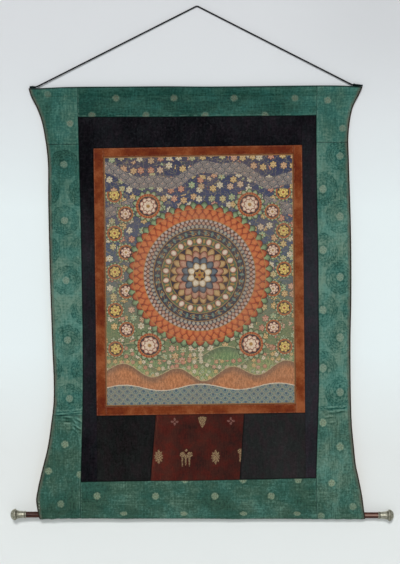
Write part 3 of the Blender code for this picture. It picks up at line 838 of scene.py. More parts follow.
@dataclass(frozen=True)
class BlackDamask(Finish):
    """Black silk damask with faint scrolls."""
    slot: str = "black_damask"
    deep: Colour = linear(0.012, 0.012, 0.024)
    pale: Colour = linear(0.172, 0.172, 0.187)

    def write(self, nodes: Nodes) -> None:
        """Write the nodes of this finish."""
        cloth = Cloth(nodes)
        lay, noise = cloth.lay, cloth.lay.noise
        ground = noise(19, 1)
        scroll = ground.near(0.5, 0.022).most(lay.cells(30.0).near(0.30, 0.035))
        figure = scroll.most(lay.cells(9.0, Randomness=0.8).rise(0.32, 0.24) * ground.near(0.56, 0.05))
        cloud, streak, fleck = noise((90, 120, 90), 4) - 0.5, noise((2.6, 40, 10)) - 0.5, noise(6) - 0.5
        tone = cloth.fade + cloud * 0.75 + streak * 0.5 + fleck * 0.75 + figure * 0.16
        hue = noise((18, 40, 18)).rise(0.40, 0.62).mix((0.90, 1.0, 1.0), (1.20, 0.94, 1.05))
        colour = tone.mix(self.deep, self.pale) * hue
        # painted shade in the seams: a dark line along each edge
        colour = (cloth.edge.rise(4.0, 0.0) * 0.75).mix(colour, (0.0012, 0.0035, 0.003))
        relief = cloth.weave(0.9) * 0.25 + figure * 0.5 + streak * 0.4
        nodes.surface(colour, 0.66 - figure * 0.18 + fleck * 0.2, relief, 0.09, Specular_IOR_Level=0.03)


@dataclass(frozen=True)
class RustSilk(Finish):
    """Rust-coloured satin that has faded in patches along the strip."""
    slot: str = "rust_silk"
    red: Colour = linear(0.345, 0.115, 0.042)
    rust: Colour = linear(0.430, 0.192, 0.074)
    orange: Colour = linear(0.550, 0.310, 0.175)
    rim: Colour = linear(0.56, 0.36, 0.26)

    def write(self, nodes: Nodes) -> None:
        """Write the nodes of this finish."""
        cloth = Cloth(nodes)
        lay, noise, edge = cloth.lay, cloth.lay.noise, cloth.edge
        patch = noise(70) * 1.3 + noise(17, 2) * 0.55 + noise(4, 2) * 0.40 - 0.63
        colour = (patch + cloth.fade - 0.5).ramp((0.22, self.red), (0.78, self.orange), (0.47, self.rust))
        colour = (edge.near(1.9, 1.7) * noise(7).rise(0.38, 0.60) * 0.55).mix(colour, self.rim)
        # painted shadow along the edges of the raised strips
        colour = (edge.rise(0.9, 0.0) * 0.85).mix(colour, (0.02, 0.006, 0.004))
        rib = (lay.parts()[1] * (math.tau / 1.1)).sine() * 0.5 + 0.5
        fleck = noise(1.6, 2)
        nodes.surface(colour, 0.52 + fleck * 0.2, rib * 0.35 + fleck * 0.5, 0.08, Specular_IOR_Level=0.07)


class Flower(Enum):
    """The gold flowers of the door's brocade."""
    CROSS = 1
    TULIP = 2
    SPRAY = 3
    BURST = 4
    BUD = 5

    def drawn(self, x: Wire, y: Wire) -> Wire:
        """Draw the flower.

        Args:
            x: Across from its middle.
            y: Up from its middle.

        Returns:
            Its mask.
        """
        def ball(height: float, outer: float, inner: float) -> Wire:
            """Draw a soft disc at a height."""
            return vector(x, y - height).length().rise(outer, inner)

        r, turn = Around.at(x, y)
        if self is Flower.CROSS:
            petals = r - abs((turn * 2.0).cosine()) * 10.5
            return petals.rise(0.7, -0.7) * r.rise(1.8, 2.8)
        if self is Flower.TULIP:
            width = 10.6 - ((14.5 - y) * (1 / 31.0)).most(0.0) ** 2.2 * 10.6
            return (abs(x) - width).rise(0.8, -0.8) * (y + abs(x) * 0.18).rise(15.2, 13.8)
        if self is Flower.SPRAY:
            lobes = (vector(abs(x) - 9.8, y - 6.5).length() + (turn * 14.0).cosine() * 0.7).rise(7.8, 6.4)
            lobes = lobes.most(ball(1.0, 6.0, 4.8)).most(ball(18.0, 3.9, 2.9))
            tails = abs(x + 10.4).least(abs(x + 1.2) - 0.3).least(abs(x - 8.6)) - y * 0.055
            return lobes.most(tails.rise(3.2, 2.0) * (y + abs(x) * 0.4).rise(-22.5, -20.0) * y.rise(5.0, 3.0))
        if self is Flower.BURST:
            outline = vector(x * (1 / 11.0), y * (1 / 18.0)).length()
            return (outline + (turn * 10.0).cosine() * 0.17).rise(0.98, 0.86)
        return ball(10.0, 7.4, 6.2).most(abs(x).rise(3.4, 2.2) * y.rise(-19.0, -17.0) * y.rise(10.0, 8.0))


@dataclass(frozen=True)
class MaroonBrocade(Finish):
    """Maroon silk with flowers woven in gold thread."""
    slot: str = "maroon_brocade"
    deep: Colour = linear(0.102, 0.0345, 0.0287)
    warm: Colour = linear(0.302, 0.120, 0.084)
    gold: Colour = linear(0.585, 0.50, 0.36)
    pink: Colour = linear(0.52, 0.36, 0.33)
    worn: Colour = linear(0.45, 0.22, 0.16)

    def write(self, nodes: Nodes) -> None:
        """Write the nodes of this finish."""
        cloth = Cloth(nodes)
        noise = cloth.lay.noise
        dx, dy, kind = cloth.motif
        shake = noise(4.2, 2) - 0.5
        dx, dy = dx + shake * 2.6, dy - shake * 2.6
        flowers = None
        for flower in Flower:
            mask = flower.drawn(dx, dy) * kind.near(flower.value, 0.5).rise(0.1, 0.3)
            flowers = mask if flowers is None else flowers.most(mask)
        cloud, streak, fleck = noise(60, 4), noise((1.8, 34, 9)), noise((5.0, 6.0, 5.0))
        warm_side = cloth.lay.parts()[0].rise(20.0, -115.0) * 0.22
        tone = cloud * 1.3 + streak * 0.9 + fleck * 0.9 - 1.08 + warm_side
        hue = noise(24).rise(0.40, 0.62).mix((0.88, 1.10, 1.10), (1.18, 0.86, 0.80))
        colour = tone.mix(self.deep, self.warm) * hue
        thread = noise((2.0, 2.6, 2.0), 2).rise(0.38, 0.56)
        lattice = ((dx * 0.95).sine() * (dy * 0.8 + 0.6).sine()).rise(-0.1, 0.5)
        metal = kind.rise(1.4, 1.6).mix(self.pink, self.gold)
        metal = (thread * (1 - lattice * 0.55)).mix((0.10, 0.045, 0.03), metal)
        colour = (flowers * (0.50 + thread * 0.42)).mix(colour, metal)
        band = cloth.left.near(5.5, 4.5) * streak.rise(0.40, 0.60)
        colour = (band * 0.30).mix(colour, self.worn)
        # painted shade in the seams
        colour = (cloth.edge.rise(2.4, 0.0) * 0.8).mix(colour, (0.008, 0.003, 0.003))
        relief = cloth.weave(0.9) * 0.25 + streak * 0.4 + flowers * 0.7
        nodes.surface(colour, 0.66 - flowers * 0.2, relief, 0.10, Specular_IOR_Level=0.08)


@dataclass
class Painting:
    """The ornamental design while it is painted: a flower wheel between vines, over hills and water."""
    u: Wire                       # places across and up from the middle of the cloth
    v: Wire
    colour: Operand = (0.0, 0.0, 0.0)
    middle: float = 14.0          # height of the wheel's middle above the middle of the cloth
    half_width: float = 256.5
    half_height: float = 337.0
    vine_place: float = 213.0
    vine_period: float = 104.0
    outline: Colour = linear(0.13, 0.09, 0.09)
    cream: Colour = linear(0.82, 0.77, 0.68)
    gold: Colour = linear(0.62, 0.47, 0.26)
    red: Colour = linear(0.52, 0.19, 0.12)
    orange: Colour = linear(0.68, 0.37, 0.21)
    night: Colour = linear(0.10, 0.12, 0.20)
    leaf: Colour = linear(0.25, 0.44, 0.28)
    blossom: Colour = linear(0.84, 0.76, 0.66)

    def paint(self) -> Operand:
        """Paint the design, and give its colour."""
        self._sky()
        self._hills()
        self._vines()
        self._wheel()
        # A large medallion in each corner between wheel and vines, and the ruled frame line
        corner = Around.at(abs(self.u) - 137.0, abs(self.v - self.middle) - 188.0)
        self.colour = self._medallion(corner, 33.0, 9, (linear(0.62, 0.32, 0.26), self.blossom, self.gold))
        inset = (self.half_width - abs(self.u)).least(self.half_height - abs(self.v))
        self._cover(inset.rise(4.2, 3.6), linear(0.50, 0.33, 0.17))
        return self.colour

    def _cover(self, mask: Wire, tone: Operand) -> None:
        """Cover what is painted so far with a tone where the mask is 1."""
        self.colour = mask.mix(self.colour, tone)

    def _ring(self, petal: Wire, tones: Sequence[Operand], under: Operand, drawn: float = 0.16) -> Wire:
        """Paint petals with a dark outline and a paler middle.

        Args:
            petal: How far inside a petal a place is.
            tones: The colours at a petal's edge and in its middle.
            under: The colour below them.
            drawn: The width of the outline, as a share of a petal.

        Returns:
            The new colour.
        """
        colour = petal.rise(-drawn, -drawn * 0.5).mix(under, self.outline)
        return petal.rise(0.0, drawn * 0.6).mix(colour, petal.rise(0.05, 0.85).mix(*tones))

    def _flower(self, spot: Around, radius: float, count: int, look: Sequence[Operand],
                under: Operand) -> Wire:
        """Paint a blossom with an outline, two rings of petals and a heart.

        Args:
            spot: Places round its middle.
            radius: Its size.
            count: The number of petals.
            look: The colours of the petals' edges, of their middles and of the heart.
            under: The colour below it.

        Returns:
            The new colour.
        """
        outer = spot.petals(count, radius * 0.2, radius, radius * 0.36)
        inner = spot.petals(count, radius * 0.1, radius * 0.66, radius * 0.25, 0.4)
        colour = self._ring(inner, look[:2], self._ring(outer, look[:2], under, 0.3), 0.3)
        return spot.r.rise(radius * 0.22, radius * 0.16).mix(colour, look[2])

    def _medallion(self, spot: Around, radius: float, count: int, look: Sequence[Operand]) -> Wire:
        """Paint a blossom on a dark disc with an orange rim, and a pale scroll of leaves below it.

        Args:
            spot: Places round its middle.
            radius: Its size.
            count: The number of petals.
            look: The blossom's colours.

        Returns:
            The new colour.
        """
        r, turn = spot
        leaves = spot.petals(14, radius * 0.72, radius * 1.28, radius * 0.21)
        colour = self._ring(leaves, (self.leaf, linear(0.60, 0.62, 0.50)), self.colour, 0.3)
        rim = (turn * 28.0).sine().rise(-0.6, 0.6).mix(self.red, self.orange)
        colour = r.rise(radius + 0.6, radius - 0.6).mix(colour, rim)
        colour = r.near(radius * 0.82, 1.5).mix(colour, self.gold)
        colour = r.rise(radius * 0.82, radius * 0.78).mix(colour, self.night)
        return self._flower(spot, radius * 0.74, count, look, colour)

    def _scales(self, u: Wire, size: float) -> Wire:
        """Draw overlapping round scales.

        Args:
            u: Places across.
            size: The width of a scale.

        Returns:
            The distance from the middle of the scale that shows, from 0 to 1 at its rim.
        """
        found = None
        for row in (-1.0, 0.0, 1.0):
            level = (self.v * (2 / size)).whole() + row
            across = ((u * (1 / size) + (level * 0.5).fraction()).fraction() - 0.5) * 2.0
            far = vector(across, self.v * (2 / size) - level).length()
            found = far if found is None else far.rise(1.01, 0.99).pick(found, far)
        return found

    def _meadow(self, size: float) -> Wire:
        """Scatter small blossoms of mixed colours over leafy scrolls.

        Args:
            size: From one blossom to the next.

        Returns:
            The new colour.
        """
        place = vector(self.u, self.v)
        scroll = place.noise(size * 0.55, 1).near(0.5, 0.030)
        colour = (scroll * 0.75).mix(self.colour, linear(0.55, 0.50, 0.38))
        tuft = place.noise((3.4, 5.5, 3.4), 1).rise(0.56, 0.62)
        colour = (tuft * 0.50).mix(colour, linear(0.22, 0.32, 0.27))
        middle = place.cells(size, output="Position", Randomness=0.55)
        x, y, _ = ((place * (1 / size) - middle) * size).parts()
        edge = place.cells(size, output="Color", Randomness=0.55).parts()[0].ramp(*stops(
            (0.0, 0.72, 0.68, 0.58), (1.0, 0.66, 0.36, 0.30), (0.24, 0.70, 0.66, 0.56),
            (0.34, 0.62, 0.24, 0.14), (0.46, 0.64, 0.26, 0.15), (0.54, 0.38, 0.54, 0.36),
            (0.66, 0.42, 0.56, 0.40), (0.74, 0.70, 0.55, 0.24), (0.88, 0.68, 0.52, 0.22)))
        pale = place.nodes.add("Mix", {0: 0.40, 6: edge, 7: linear(0.88, 0.83, 0.72)}, 2, data_type="RGBA")
        return self._flower(Around.at(x, y), size * 0.36, 6, (edge, pale, self.gold), colour)

    def _sky(self) -> None:
        """Paint the sky with its blossoms, and banks of cloud made of overlapping curls with pale rims."""
        u, v = self.u, self.v
        self.colour = ((v + self.half_height) * (0.5 / self.half_height)).ramp(*stops(
            (0.0, 0.42, 0.48, 0.33), (1.0, 0.10, 0.15, 0.29), (0.30, 0.39, 0.46, 0.32),
            (0.44, 0.35, 0.40, 0.38), (0.64, 0.25, 0.31, 0.40), (0.84, 0.13, 0.21, 0.36)))
        self.colour = self._meadow(27.0)
        curl = self._scales(u + (v * 0.11).sine() * 4.0, 25.0).ramp(*stops(
            (0.0, 0.56, 0.30, 0.23), (1.0, 0.13, 0.16, 0.25), (0.20, 0.66, 0.61, 0.55),
            (0.34, 0.21, 0.26, 0.34), (0.50, 0.61, 0.57, 0.52), (0.62, 0.22, 0.26, 0.33),
            (0.80, 0.60, 0.56, 0.50), (0.90, 0.28, 0.29, 0.34)))
        drift = (u * (1 / 53.0) + 0.6).sine() * 22.0 + (u * (1 / 19.0)).cosine() * 7.0
        bank = v - drift - 268.0
        self._cover(bank.rise(-1.5, 1.5) * bank.rise(33.0, 30.0), curl)
        lower = v + (u * (1 / 47.0)).cosine() * 17.0 - 182.0
        self._cover(lower.rise(-1.5, 1.5) * lower.rise(30.0, 27.0) * abs(u).rise(172.0, 180.0), curl)

    def _hills(self) -> None:
        """Paint ridges with a pale crest, the nearest of bare ochre earth, and water with round waves."""
        u, v = self.u, self.v
        for i, (level, length, height, tone) in enumerate((
                (-206.0, 38.0, 22.0, (0.34, 0.47, 0.31)), (-232.0, 29.0, 17.0, (0.46, 0.53, 0.34)),
                (-256.0, 23.0, 15.0, (0.60, 0.38, 0.24)))):
            ridge = v - level - (u * (1 / length) + i * 2.1).sine() * height - abs(u) * 0.10
            grass = vector(u, v).noise((4, 12, 4), 2).rise(0.42, 0.60)
            hill = (grass * 0.75).mix(linear(*tone), linear(tone[0] + 0.17, tone[1] + 0.13, tone[2] + 0.10))
            hill = (ridge.rise(-26.0, -2.0) * 0.6).mix(hill, linear(0.24, 0.28, 0.26))
            self._cover(ridge.rise(0.8, -0.8), hill)
            self._cover(ridge.near(-1.0, 1.8) * 0.85, linear(0.72, 0.67, 0.50))
            if i == 1:
                self._cover(ridge.rise(26.0, 24.0), self._meadow(17.0))
        wave = self._scales(u, 22.0).ramp(*stops(
            (0.0, 0.20, 0.29, 0.36), (1.0, 0.66, 0.63, 0.52), (0.34, 0.27, 0.38, 0.42),
            (0.44, 0.60, 0.60, 0.52), (0.54, 0.25, 0.37, 0.40), (0.74, 0.36, 0.47, 0.46),
            (0.82, 0.62, 0.61, 0.50), (0.90, 0.20, 0.30, 0.34)))
        shore = v + 288.0 - (u * (1 / 33.0)).cosine() * 8.0
        self._cover(shore.rise(0.8, -0.8), wave)
        self._cover(shore.near(0.0, 2.0), self.cream)

    def _vines(self) -> None:
        """Paint a vine up each side, with pairs of leaves and a medallion at each turn of its stem."""
        v, period = self.v, self.vine_period
        side = abs(self.u) - self.vine_place
        reach = v.rise(-214.0, -209.0) * v.rise(246.0, 241.0)
        stem = side - (v * (math.tau / period)).sine() * 17.0
        self._cover(abs(stem).rise(2.8, 1.9) * reach, linear(0.56, 0.53, 0.33))
        step = v * (4 / period)
        local = (step - step.whole() - 0.5) * (period / 4)
        lean = abs(abs(stem) - 10.0)
        blade = vector(lean * (1 / 7.0), (local - abs(stem) * 0.35 + 3.0) * (1 / 5.4)).length()
        self._cover(blade.rise(1.1, 0.95) * reach, linear(0.15, 0.22, 0.17))
        self._cover(blade.rise(0.86, 0.72) * reach, linear(0.40, 0.52, 0.35))
        for shift, look in ((0.25, (linear(0.66, 0.50, 0.20), linear(0.82, 0.72, 0.42), self.red)),
                            (-0.25, (linear(0.62, 0.30, 0.26), self.blossom, self.gold))):
            turn = v * (1 / period) - shift
            spot = Around.at(side - math.copysign(15.0, shift), (turn - (turn + 0.5).whole()) * period)
            self._cover(reach, self._medallion(spot, 20.5, 7, look))

    def _wheel(self) -> None:
        """Paint the flower wheel, ring by ring from the outside."""
        spot = Around.at(self.u, self.v - self.middle)
        r, turn = spot

        def disc(radius: float, tone: Operand) -> None:
            """Cover everything inside a radius, and draw its rim in gold."""
            self._cover(r.rise(radius + 0.5, radius - 0.5), tone)
            self._cover(r.near(radius, 1.7), self.gold)

        # Leafy points that stand out from the rim, and two rows of vermilion feathers
        for shift, outer, tones in ((0.0, 198.0, (linear(0.24, 0.34, 0.26), linear(0.50, 0.58, 0.42))),
                                    (math.pi / 40, 191.0, (self.red, self.orange))):
            self.colour = self._ring(spot.petals(40, 160.0, outer, 12.0, shift), tones, self.colour)
        band = self.red
        for shift, inner, outer in ((0.0, 158.0, 183.0), (math.pi / 54, 143.0, 169.0)):
            feather = spot.petals(54, inner, outer, 9.5, shift)
            band = self._ring(feather, (linear(0.60, 0.24, 0.13), linear(0.74, 0.42, 0.24)), band, 0.1)
        disc(179.0, band)
        # Three rows of small cream and rose scales
        band = linear(0.36, 0.25, 0.21)
        for row, tones in enumerate(((linear(0.54, 0.43, 0.41), linear(0.68, 0.62, 0.58)),
                                     (linear(0.52, 0.30, 0.25), linear(0.66, 0.54, 0.46)),
                                     (linear(0.32, 0.37, 0.44), linear(0.62, 0.58, 0.50)))):
            scale = spot.petals(72, 141.0 - 8 * row, 153.0 - 8 * row, 5.2, row * math.pi / 72)
            band = self._ring(scale, tones, band, 0.3)
        disc(151.0, band)
        # Band of scrolls on dark blue, and one of green with pale blossoms
        wave = (turn * 20.0 + (r * 0.30).sine() * 2.2).sine() * 5.5 + 113.5
        band = abs(r - wave).rise(1.9, 1.0).mix(linear(0.15, 0.18, 0.24), self.gold)
        sprig = spot.petals(40, 107.0, 121.0, 4.0, 0.08)
        disc(125.0, (sprig.rise(0.1, 0.3) * 0.8).mix(band, linear(0.38, 0.50, 0.46)))
        spray = spot.petals(22, 82.0, 101.0, 8.4)
        band = self._ring(spray, (linear(0.62, 0.36, 0.30), self.cream), linear(0.28, 0.38, 0.28))
        disc(103.0, spot.petals(22, 85.0, 99.0, 3.2, math.pi / 22).rise(0.0, 0.2).mix(band, self.gold))
        # Lotus: four rings of petals round a dark heart
        disc(80.5, self.night)
        for count, inner, outer, width, tones in (
                (20, 52.0, 79.0, 9.6, (linear(0.54, 0.38, 0.22), linear(0.70, 0.58, 0.40))),
                (16, 38.0, 66.0, 10.5, (linear(0.50, 0.26, 0.21), linear(0.68, 0.52, 0.43))),
                (12, 24.0, 50.0, 10.0, (linear(0.16, 0.19, 0.25), linear(0.36, 0.41, 0.44))),
                (8, 12.0, 35.0, 10.5, (linear(0.54, 0.42, 0.24), self.cream))):
            self.colour = self._ring(spot.petals(count, inner, outer, width, 0.5 / count), tones, self.colour)
        disc(16.0, self.night)
        self._cover(spot.petals(6, 3.0, 14.0, 4.6).rise(0.0, 0.2), self.gold)
        self._cover(r.rise(4.0, 3.0), self.red)


@dataclass(frozen=True)
class PaintedCloth(Finish):
    """Painted cotton with an ornamental design, under dust, worn creases and fine cracks."""
    slot: str = "painted_cloth"

    def write(self, nodes: Nodes) -> None:
        """Write the nodes of this finish."""
        cloth = Cloth(nodes)
        lay, noise = cloth.lay, cloth.lay.noise
        shake = noise(8) - 0.5
        u, v, _ = (lay + vector(shake * 3.6, shake * -3.0)).parts()
        colour = Painting(u, v).paint()
        colour = (noise(95, 5).rise(0.30, 0.72) * 0.24 + 0.10).mix(colour, linear(0.50, 0.42, 0.35))
        crease = noise((160, 2.3, 20), 4).rise(0.60, 0.72)
        colour = (crease * 0.30).mix(colour, linear(0.64, 0.57, 0.48))
        grain = noise(2.6)
        colour = colour * grain.pick(0.62, 1.44)
        crack = lay.cells(7.5, "DISTANCE_TO_EDGE", Randomness=1.0)
        colour = (crack.rise(0.045, 0.0) * 0.30).mix(colour, linear(0.20, 0.15, 0.12))
        # painted shade in the seams
        colour = (cloth.edge.rise(1.8, 0.0) * 0.6).mix(colour, linear(0.20, 0.12, 0.09))
        relief = cloth.weave(0.75) * 0.4 + crack.rise(0.0, 0.05) * 0.25 + grain * 0.4
        nodes.surface(colour, 0.80 - grain * 0.1, relief, 0.06, Specular_IOR_Level=0.12)


@dataclass(frozen=True)
class LiningCotton(Finish):
    """Plain undyed cotton on the back, toned and stained by age."""
    slot: str = "painted_cloth"
    cloth: Colour = linear(0.62, 0.52, 0.38)
    stain: Colour = linear(0.43, 0.33, 0.23)

    def write(self, nodes: Nodes) -> None:
        """Write the nodes of this finish."""
        cloth = Cloth(nodes)
        noise = cloth.lay.noise
        thread, weft = noise((1.1, 22, 4)), noise((22, 1.1, 4))
        colour = (noise((160, 230, 160), 5).rise(0.35, 0.80) * 0.40).mix(self.cloth, self.stain)
        colour = colour * (thread * 0.5 + weft * 0.5).pick(0.78, 1.22)
        # painted shade in the seams; the wider band below is stain
        colour = (cloth.edge.rise(2.2, 0.0) * 0.6).mix(colour, linear(0.24, 0.18, 0.13))
        colour = (cloth.edge.rise(13.0, 3.0) * 0.25).mix(colour, self.stain)
        relief = cloth.weave(0.85) * 0.6 + thread * 0.6
        nodes.surface(colour, 0.86 - thread * 0.06, relief, 0.08, Specular_IOR_Level=0.15)


@dataclass(frozen=True)
class ThreadWork(Finish):
    """Spun or braided thread, with its twist in the mesh and the fibres in the finish."""
    deep: Colour
    pale: Colour
    wear: float

    def write(self, nodes: Nodes) -> None:
        """Write the nodes of this finish."""
        noise = nodes.place().noise
        fibre = noise(0.5)
        tone = fibre * 0.9 + noise(19) * 0.6 - 0.35 + noise(4).rise(0.5, 0.68) * self.wear
        colour = tone.mix(self.deep, self.pale)
        nodes.surface(colour, 0.86 - fibre * 0.2, fibre, 0.05, Specular_IOR_Level=0.06)


@dataclass(frozen=True)
class TurnedWood(Finish):
    """Wood with its grain along the piece, under old varnish or bare."""
    dark: Colour = linear(0.09, 0.035, 0.022)
    light: Colour = linear(0.36, 0.17, 0.105)
    varnish: float = 0.08
    highlight_tone: Colour | None = None  # the painted highlight: a pale band along its right-hand end
    band_place: float = 465.0
    band_start: tuple[float, float] = (400.0, 420.0)
    dark_end: float = -400.0      # the left end, which is darker
    end_shade: float = 0.72

    def write(self, nodes: Nodes) -> None:
        """Write the nodes of this finish."""
        place = nodes.place()
        grain = place.noise((46, 1.5, 1.5), 4)
        pore = place.noise((9, 0.5, 0.5))
        worn = place.noise((14, 7, 7), 4).rise(0.48, 0.66)
        colour = (grain.rise(0.30, 0.70) * 0.8 + worn * 0.25).mix(self.dark, self.light)
        colour = (pore.rise(0.40, 0.30) * 0.6).mix(colour, self.dark)
        if self.highlight_tone:
            # Painted highlight: a pale band along the front of the right-hand end, and painted shade that
            # darkens the left end
            x, _, z = place.parts()
            height = -float(ROD_AXIS.at(np.array([self.band_place]))[0])
            band = z.near(height + 1.0, 3.6) * x.rise(*self.band_start)
            colour = (band * (0.55 + grain * 0.5 - pore * 0.2)).mix(colour, self.highlight_tone)
            colour = colour * x.rise(0.0, self.dark_end).pick(1.0, self.end_shade)
        rough = 0.62 - worn * 0.1 - self.varnish * 0.5 + pore * 0.16
        nodes.surface(colour, rough, grain * 0.5 + pore * 0.5, 0.12, Coat_Weight=self.varnish,
                      Coat_Roughness=0.2, Specular_IOR_Level=0.2)


@dataclass(frozen=True)
class TarnishedSilver(Finish):
    """Silver that has yellowed and greyed, darkest in its grooves."""
    slot: str = "silver"
    bright: Colour = linear(0.73, 0.725, 0.66)
    tarnish: Colour = linear(0.33, 0.315, 0.25)

    def write(self, nodes: Nodes) -> None:
        """Write the nodes of this finish."""
        noise = nodes.place().noise
        pit, scratch = noise(1.1), noise((0.35, 6, 6), 2)
        dirt = noise(7, 4) * 1.1 + pit * 0.5 - 0.42 + nodes.attribute("groove", "Fac") * 0.65
        dirt = dirt.most(0.0).least(1.0)
        nodes.surface(dirt.mix(self.bright, self.tarnish), 0.35 + dirt * 0.24 + scratch * 0.08,
                      pit * 0.6 + scratch * 0.4, 0.09, Metallic=0.92)


DAMASK, BLACK, RUST = GreenDamask(), BlackDamask(), RustSilk()
UPPER_DAMASK = GreenDamask(boldness=0.3, disc_mark=linear(0.43, 0.34, 0.27), heart=6.0)
LOWER_DAMASK = GreenDamask(deep=linear(0.08, 0.195, 0.145), middle=linear(0.190, 0.325, 0.277), boldness=0.4,
                           dull_disc=linear(0.46, 0.53, 0.43), bright_disc=linear(0.57, 0.64, 0.53),
                           disc_mark=linear(0.42, 0.37, 0.30), heart=5.8)
LOWER_BLACK = BlackDamask(deep=linear(0.014, 0.014, 0.013), pale=linear(0.170, 0.172, 0.168))
MAROON, PAINT, LINING, SILVER = MaroonBrocade(), PaintedCloth(), LiningCotton(), TarnishedSilver()
ROD_WOOD = TurnedWood("rod_wood", highlight_tone=linear(0.66, 0.54, 0.48))
PLAIN_WOOD = TurnedWood("plain_wood", linear(0.40, 0.28, 0.18), linear(0.62, 0.48, 0.33), 0.0)
EDGE_THREAD = ThreadWork("binding", linear(0.08, 0.058, 0.045), linear(0.255, 0.185, 0.15), 0.30)
CORD_THREAD = ThreadWork("cord", (0.0007, 0.0007, 0.001), (0.006, 0.006, 0.007), 0.08)
LASHING_THREAD = ThreadWork("thread", linear(0.02, 0.05, 0.05), linear(0.09, 0.16, 0.15), 0.12)
SEWING_THREAD = ThreadWork("thread", linear(0.06, 0.16, 0.13), linear(0.20, 0.33, 0.28), 0.3)
PALE_THREAD = ThreadWork("thread", linear(0.45, 0.50, 0.45), linear(0.64, 0.68, 0.62), 0.3)


# Building

def make_piece(name: str, vertices: Array, faces: list, finish: Finish,
               node: str | None = None) -> bpy.types.Object:
    """Make a piece from its vertices and faces, dress it, and put it on the frame.

    Args:
        name: Its name.
        vertices: Its vertices in millimetres, as x, back and drop.
        faces: Its faces, as lists of vertex numbers.
        finish: Its finish.
        node: The CAD node it stands for, if it does.

    Returns:
        The piece.
    """
    piece = make_object(name, vertices, faces, material_of(finish))
    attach(piece, "root")
    if node:
        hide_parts(node)
    LOG.info("%s: %d faces, %s", name, len(faces), finish.slot)
    return piece


def make_object(name: str, vertices: Array, faces: list, material: bpy.types.Material) -> bpy.types.Object:
    """Put a smooth mesh into the scene.

    Args:
        name: Its name.
        vertices: Its vertices in millimetres, as x, back and drop.
        faces: Its faces, as lists of vertex numbers.
        material: Its material.

    Returns:
        The object.
    """
    mesh = bpy.data.meshes.new(name)
    mesh.from_pydata((vertices * (MM, MM, -MM)).tolist(), [], faces)
    mesh.shade_smooth()
    mesh.materials.append(material)
    made = bpy.data.objects.new(name, mesh)
    bpy.context.scene.collection.objects.link(made)
    return made


def write_attribute(piece: bpy.types.Object, name: str, values: Array) -> None:
    """Write values for each vertex of a piece's mesh.

    Args:
        piece: The piece.
        name: The attribute's name.
        values: The values: one, three or four for each vertex.
    """
    kind, key = {1: ("FLOAT", "value"), 3: ("FLOAT_VECTOR", "vector"), 4: ("FLOAT_COLOR", "color")}[
        values.size // len(piece.data.vertices)]
    attribute = piece.data.attributes.new(name, kind, "POINT")
    attribute.data.foreach_set(key, np.ascontiguousarray(values, dtype=np.float32).ravel())


def grid_faces(rows: int, columns: int, closed: bool = False) -> list[list[int]]:
    """List the faces between rows of vertices.

    Args:
        rows: The number of rows.
        columns: The number of vertices in a row.
        closed: Whether each row goes round, and both ends are covered.

    Returns:
        The faces.
    """
    across = np.arange(columns if closed else columns - 1)
    down = np.arange(rows - 1)[:, None] * columns
    here, beside = down + across, down + (across + 1) % columns
    faces = np.stack([here, here + columns, beside + columns, beside], -1).reshape(-1, 4).tolist()
    last = (rows - 1) * columns
    return faces + [list(range(columns)), list(range(last + columns - 1, last - 1, -1))] if closed else faces


def tube(path: Array, wide: Array, deep: Array | None = None, across: tuple[float, ...] = (0.0, 1.0, 0.0),
         way: Array | None = None) -> tuple[Array, list]:
    """Lay rings of vertices along a path, and close both ends.

    Args:
        path: The middle of each ring.
        wide: Reach along a ring's first axis, one row a ring.
        deep: Reach along its second axis, where it is another.
        across: The direction of the first axis.
        way: The direction of the path, where it doesn't follow from its points.

    Returns:
        The vertices, and the faces.
    """
    angles = angles_of(wide.shape[1])
    along = np.gradient(path, axis=0) if way is None else np.tile(way, (len(path), 1))
    along /= np.linalg.norm(along, axis=1, keepdims=True)
    first = across - along * (across * along).sum(1, keepdims=True)
    first /= np.linalg.norm(first, axis=1, keepdims=True)
    second = np.cross(along, first)
    deep = wide if deep is None else deep
    vertices = (path[:, None] + first[:, None] * (wide * np.cos(angles))[..., None]
                + second[:, None] * (deep * np.sin(angles))[..., None]).reshape(-1, 3)
    return vertices, grid_faces(len(path), len(angles), closed=True)


def joined(meshes: Sequence[tuple[Array, list]]) -> tuple[Array, list]:
    """Join meshes into one.

    Args:
        meshes: The vertices and faces of each.

    Returns:
        The vertices, and the faces.
    """
    faces, count = [], 0
    for points, own in meshes:
        faces += [[count + i for i in face] for face in own]
        count += len(points)
    return np.concatenate([points for points, _ in meshes]), faces


EVEN = Fade((0,), (0.5,))
GREEN_LEFT_FADE = Fade((220, 264, 398, 533, 668, 820, 937, 1072, 1120, 1206, 1341),
                       (0.40, 0.42, 0.42, 0.59, 0.69, 0.74, 0.70, 0.62, 0.52, 0.44, 0.34))
GREEN_RIGHT_FADE = Fade((220, 264, 398, 533, 668, 802, 937, 1072, 1206, 1341),
                        (0.50, 0.53, 0.62, 0.72, 0.79, 0.82, 0.75, 0.66, 0.62, 0.55))
GREEN_TOP_FADE = Fade((-300, -200, -40, 120, 220, 300), (0.07, 0.13, 0.11, 0.18, 0.18, 0.26), True)
GREEN_BOTTOM_FADE = Fade((-300, -220, 120, 220, 310), (0.36, 0.42, 0.47, 0.47, 0.42), True)
BLACK_LEFT_FADE = Fade((330, 452, 565, 678, 790, 903, 1016, 1128, 1241),
                       (0.10, 0.08, 0.26, 0.40, 0.46, 0.37, 0.37, 0.27, 0.14))
BLACK_RIGHT_FADE = Fade((330, 452, 565, 678, 790, 903, 1128, 1241),
                        (0.15, 0.45, 0.60, 0.75, 0.80, 0.70, 0.64, 0.62))
BLACK_TOP_FADE = Fade((0,), (0.14,))
BLACK_LOW_FADE = Fade((-300, -110, 130, 300), (0.22, 0.25, 0.56, 0.60), True)
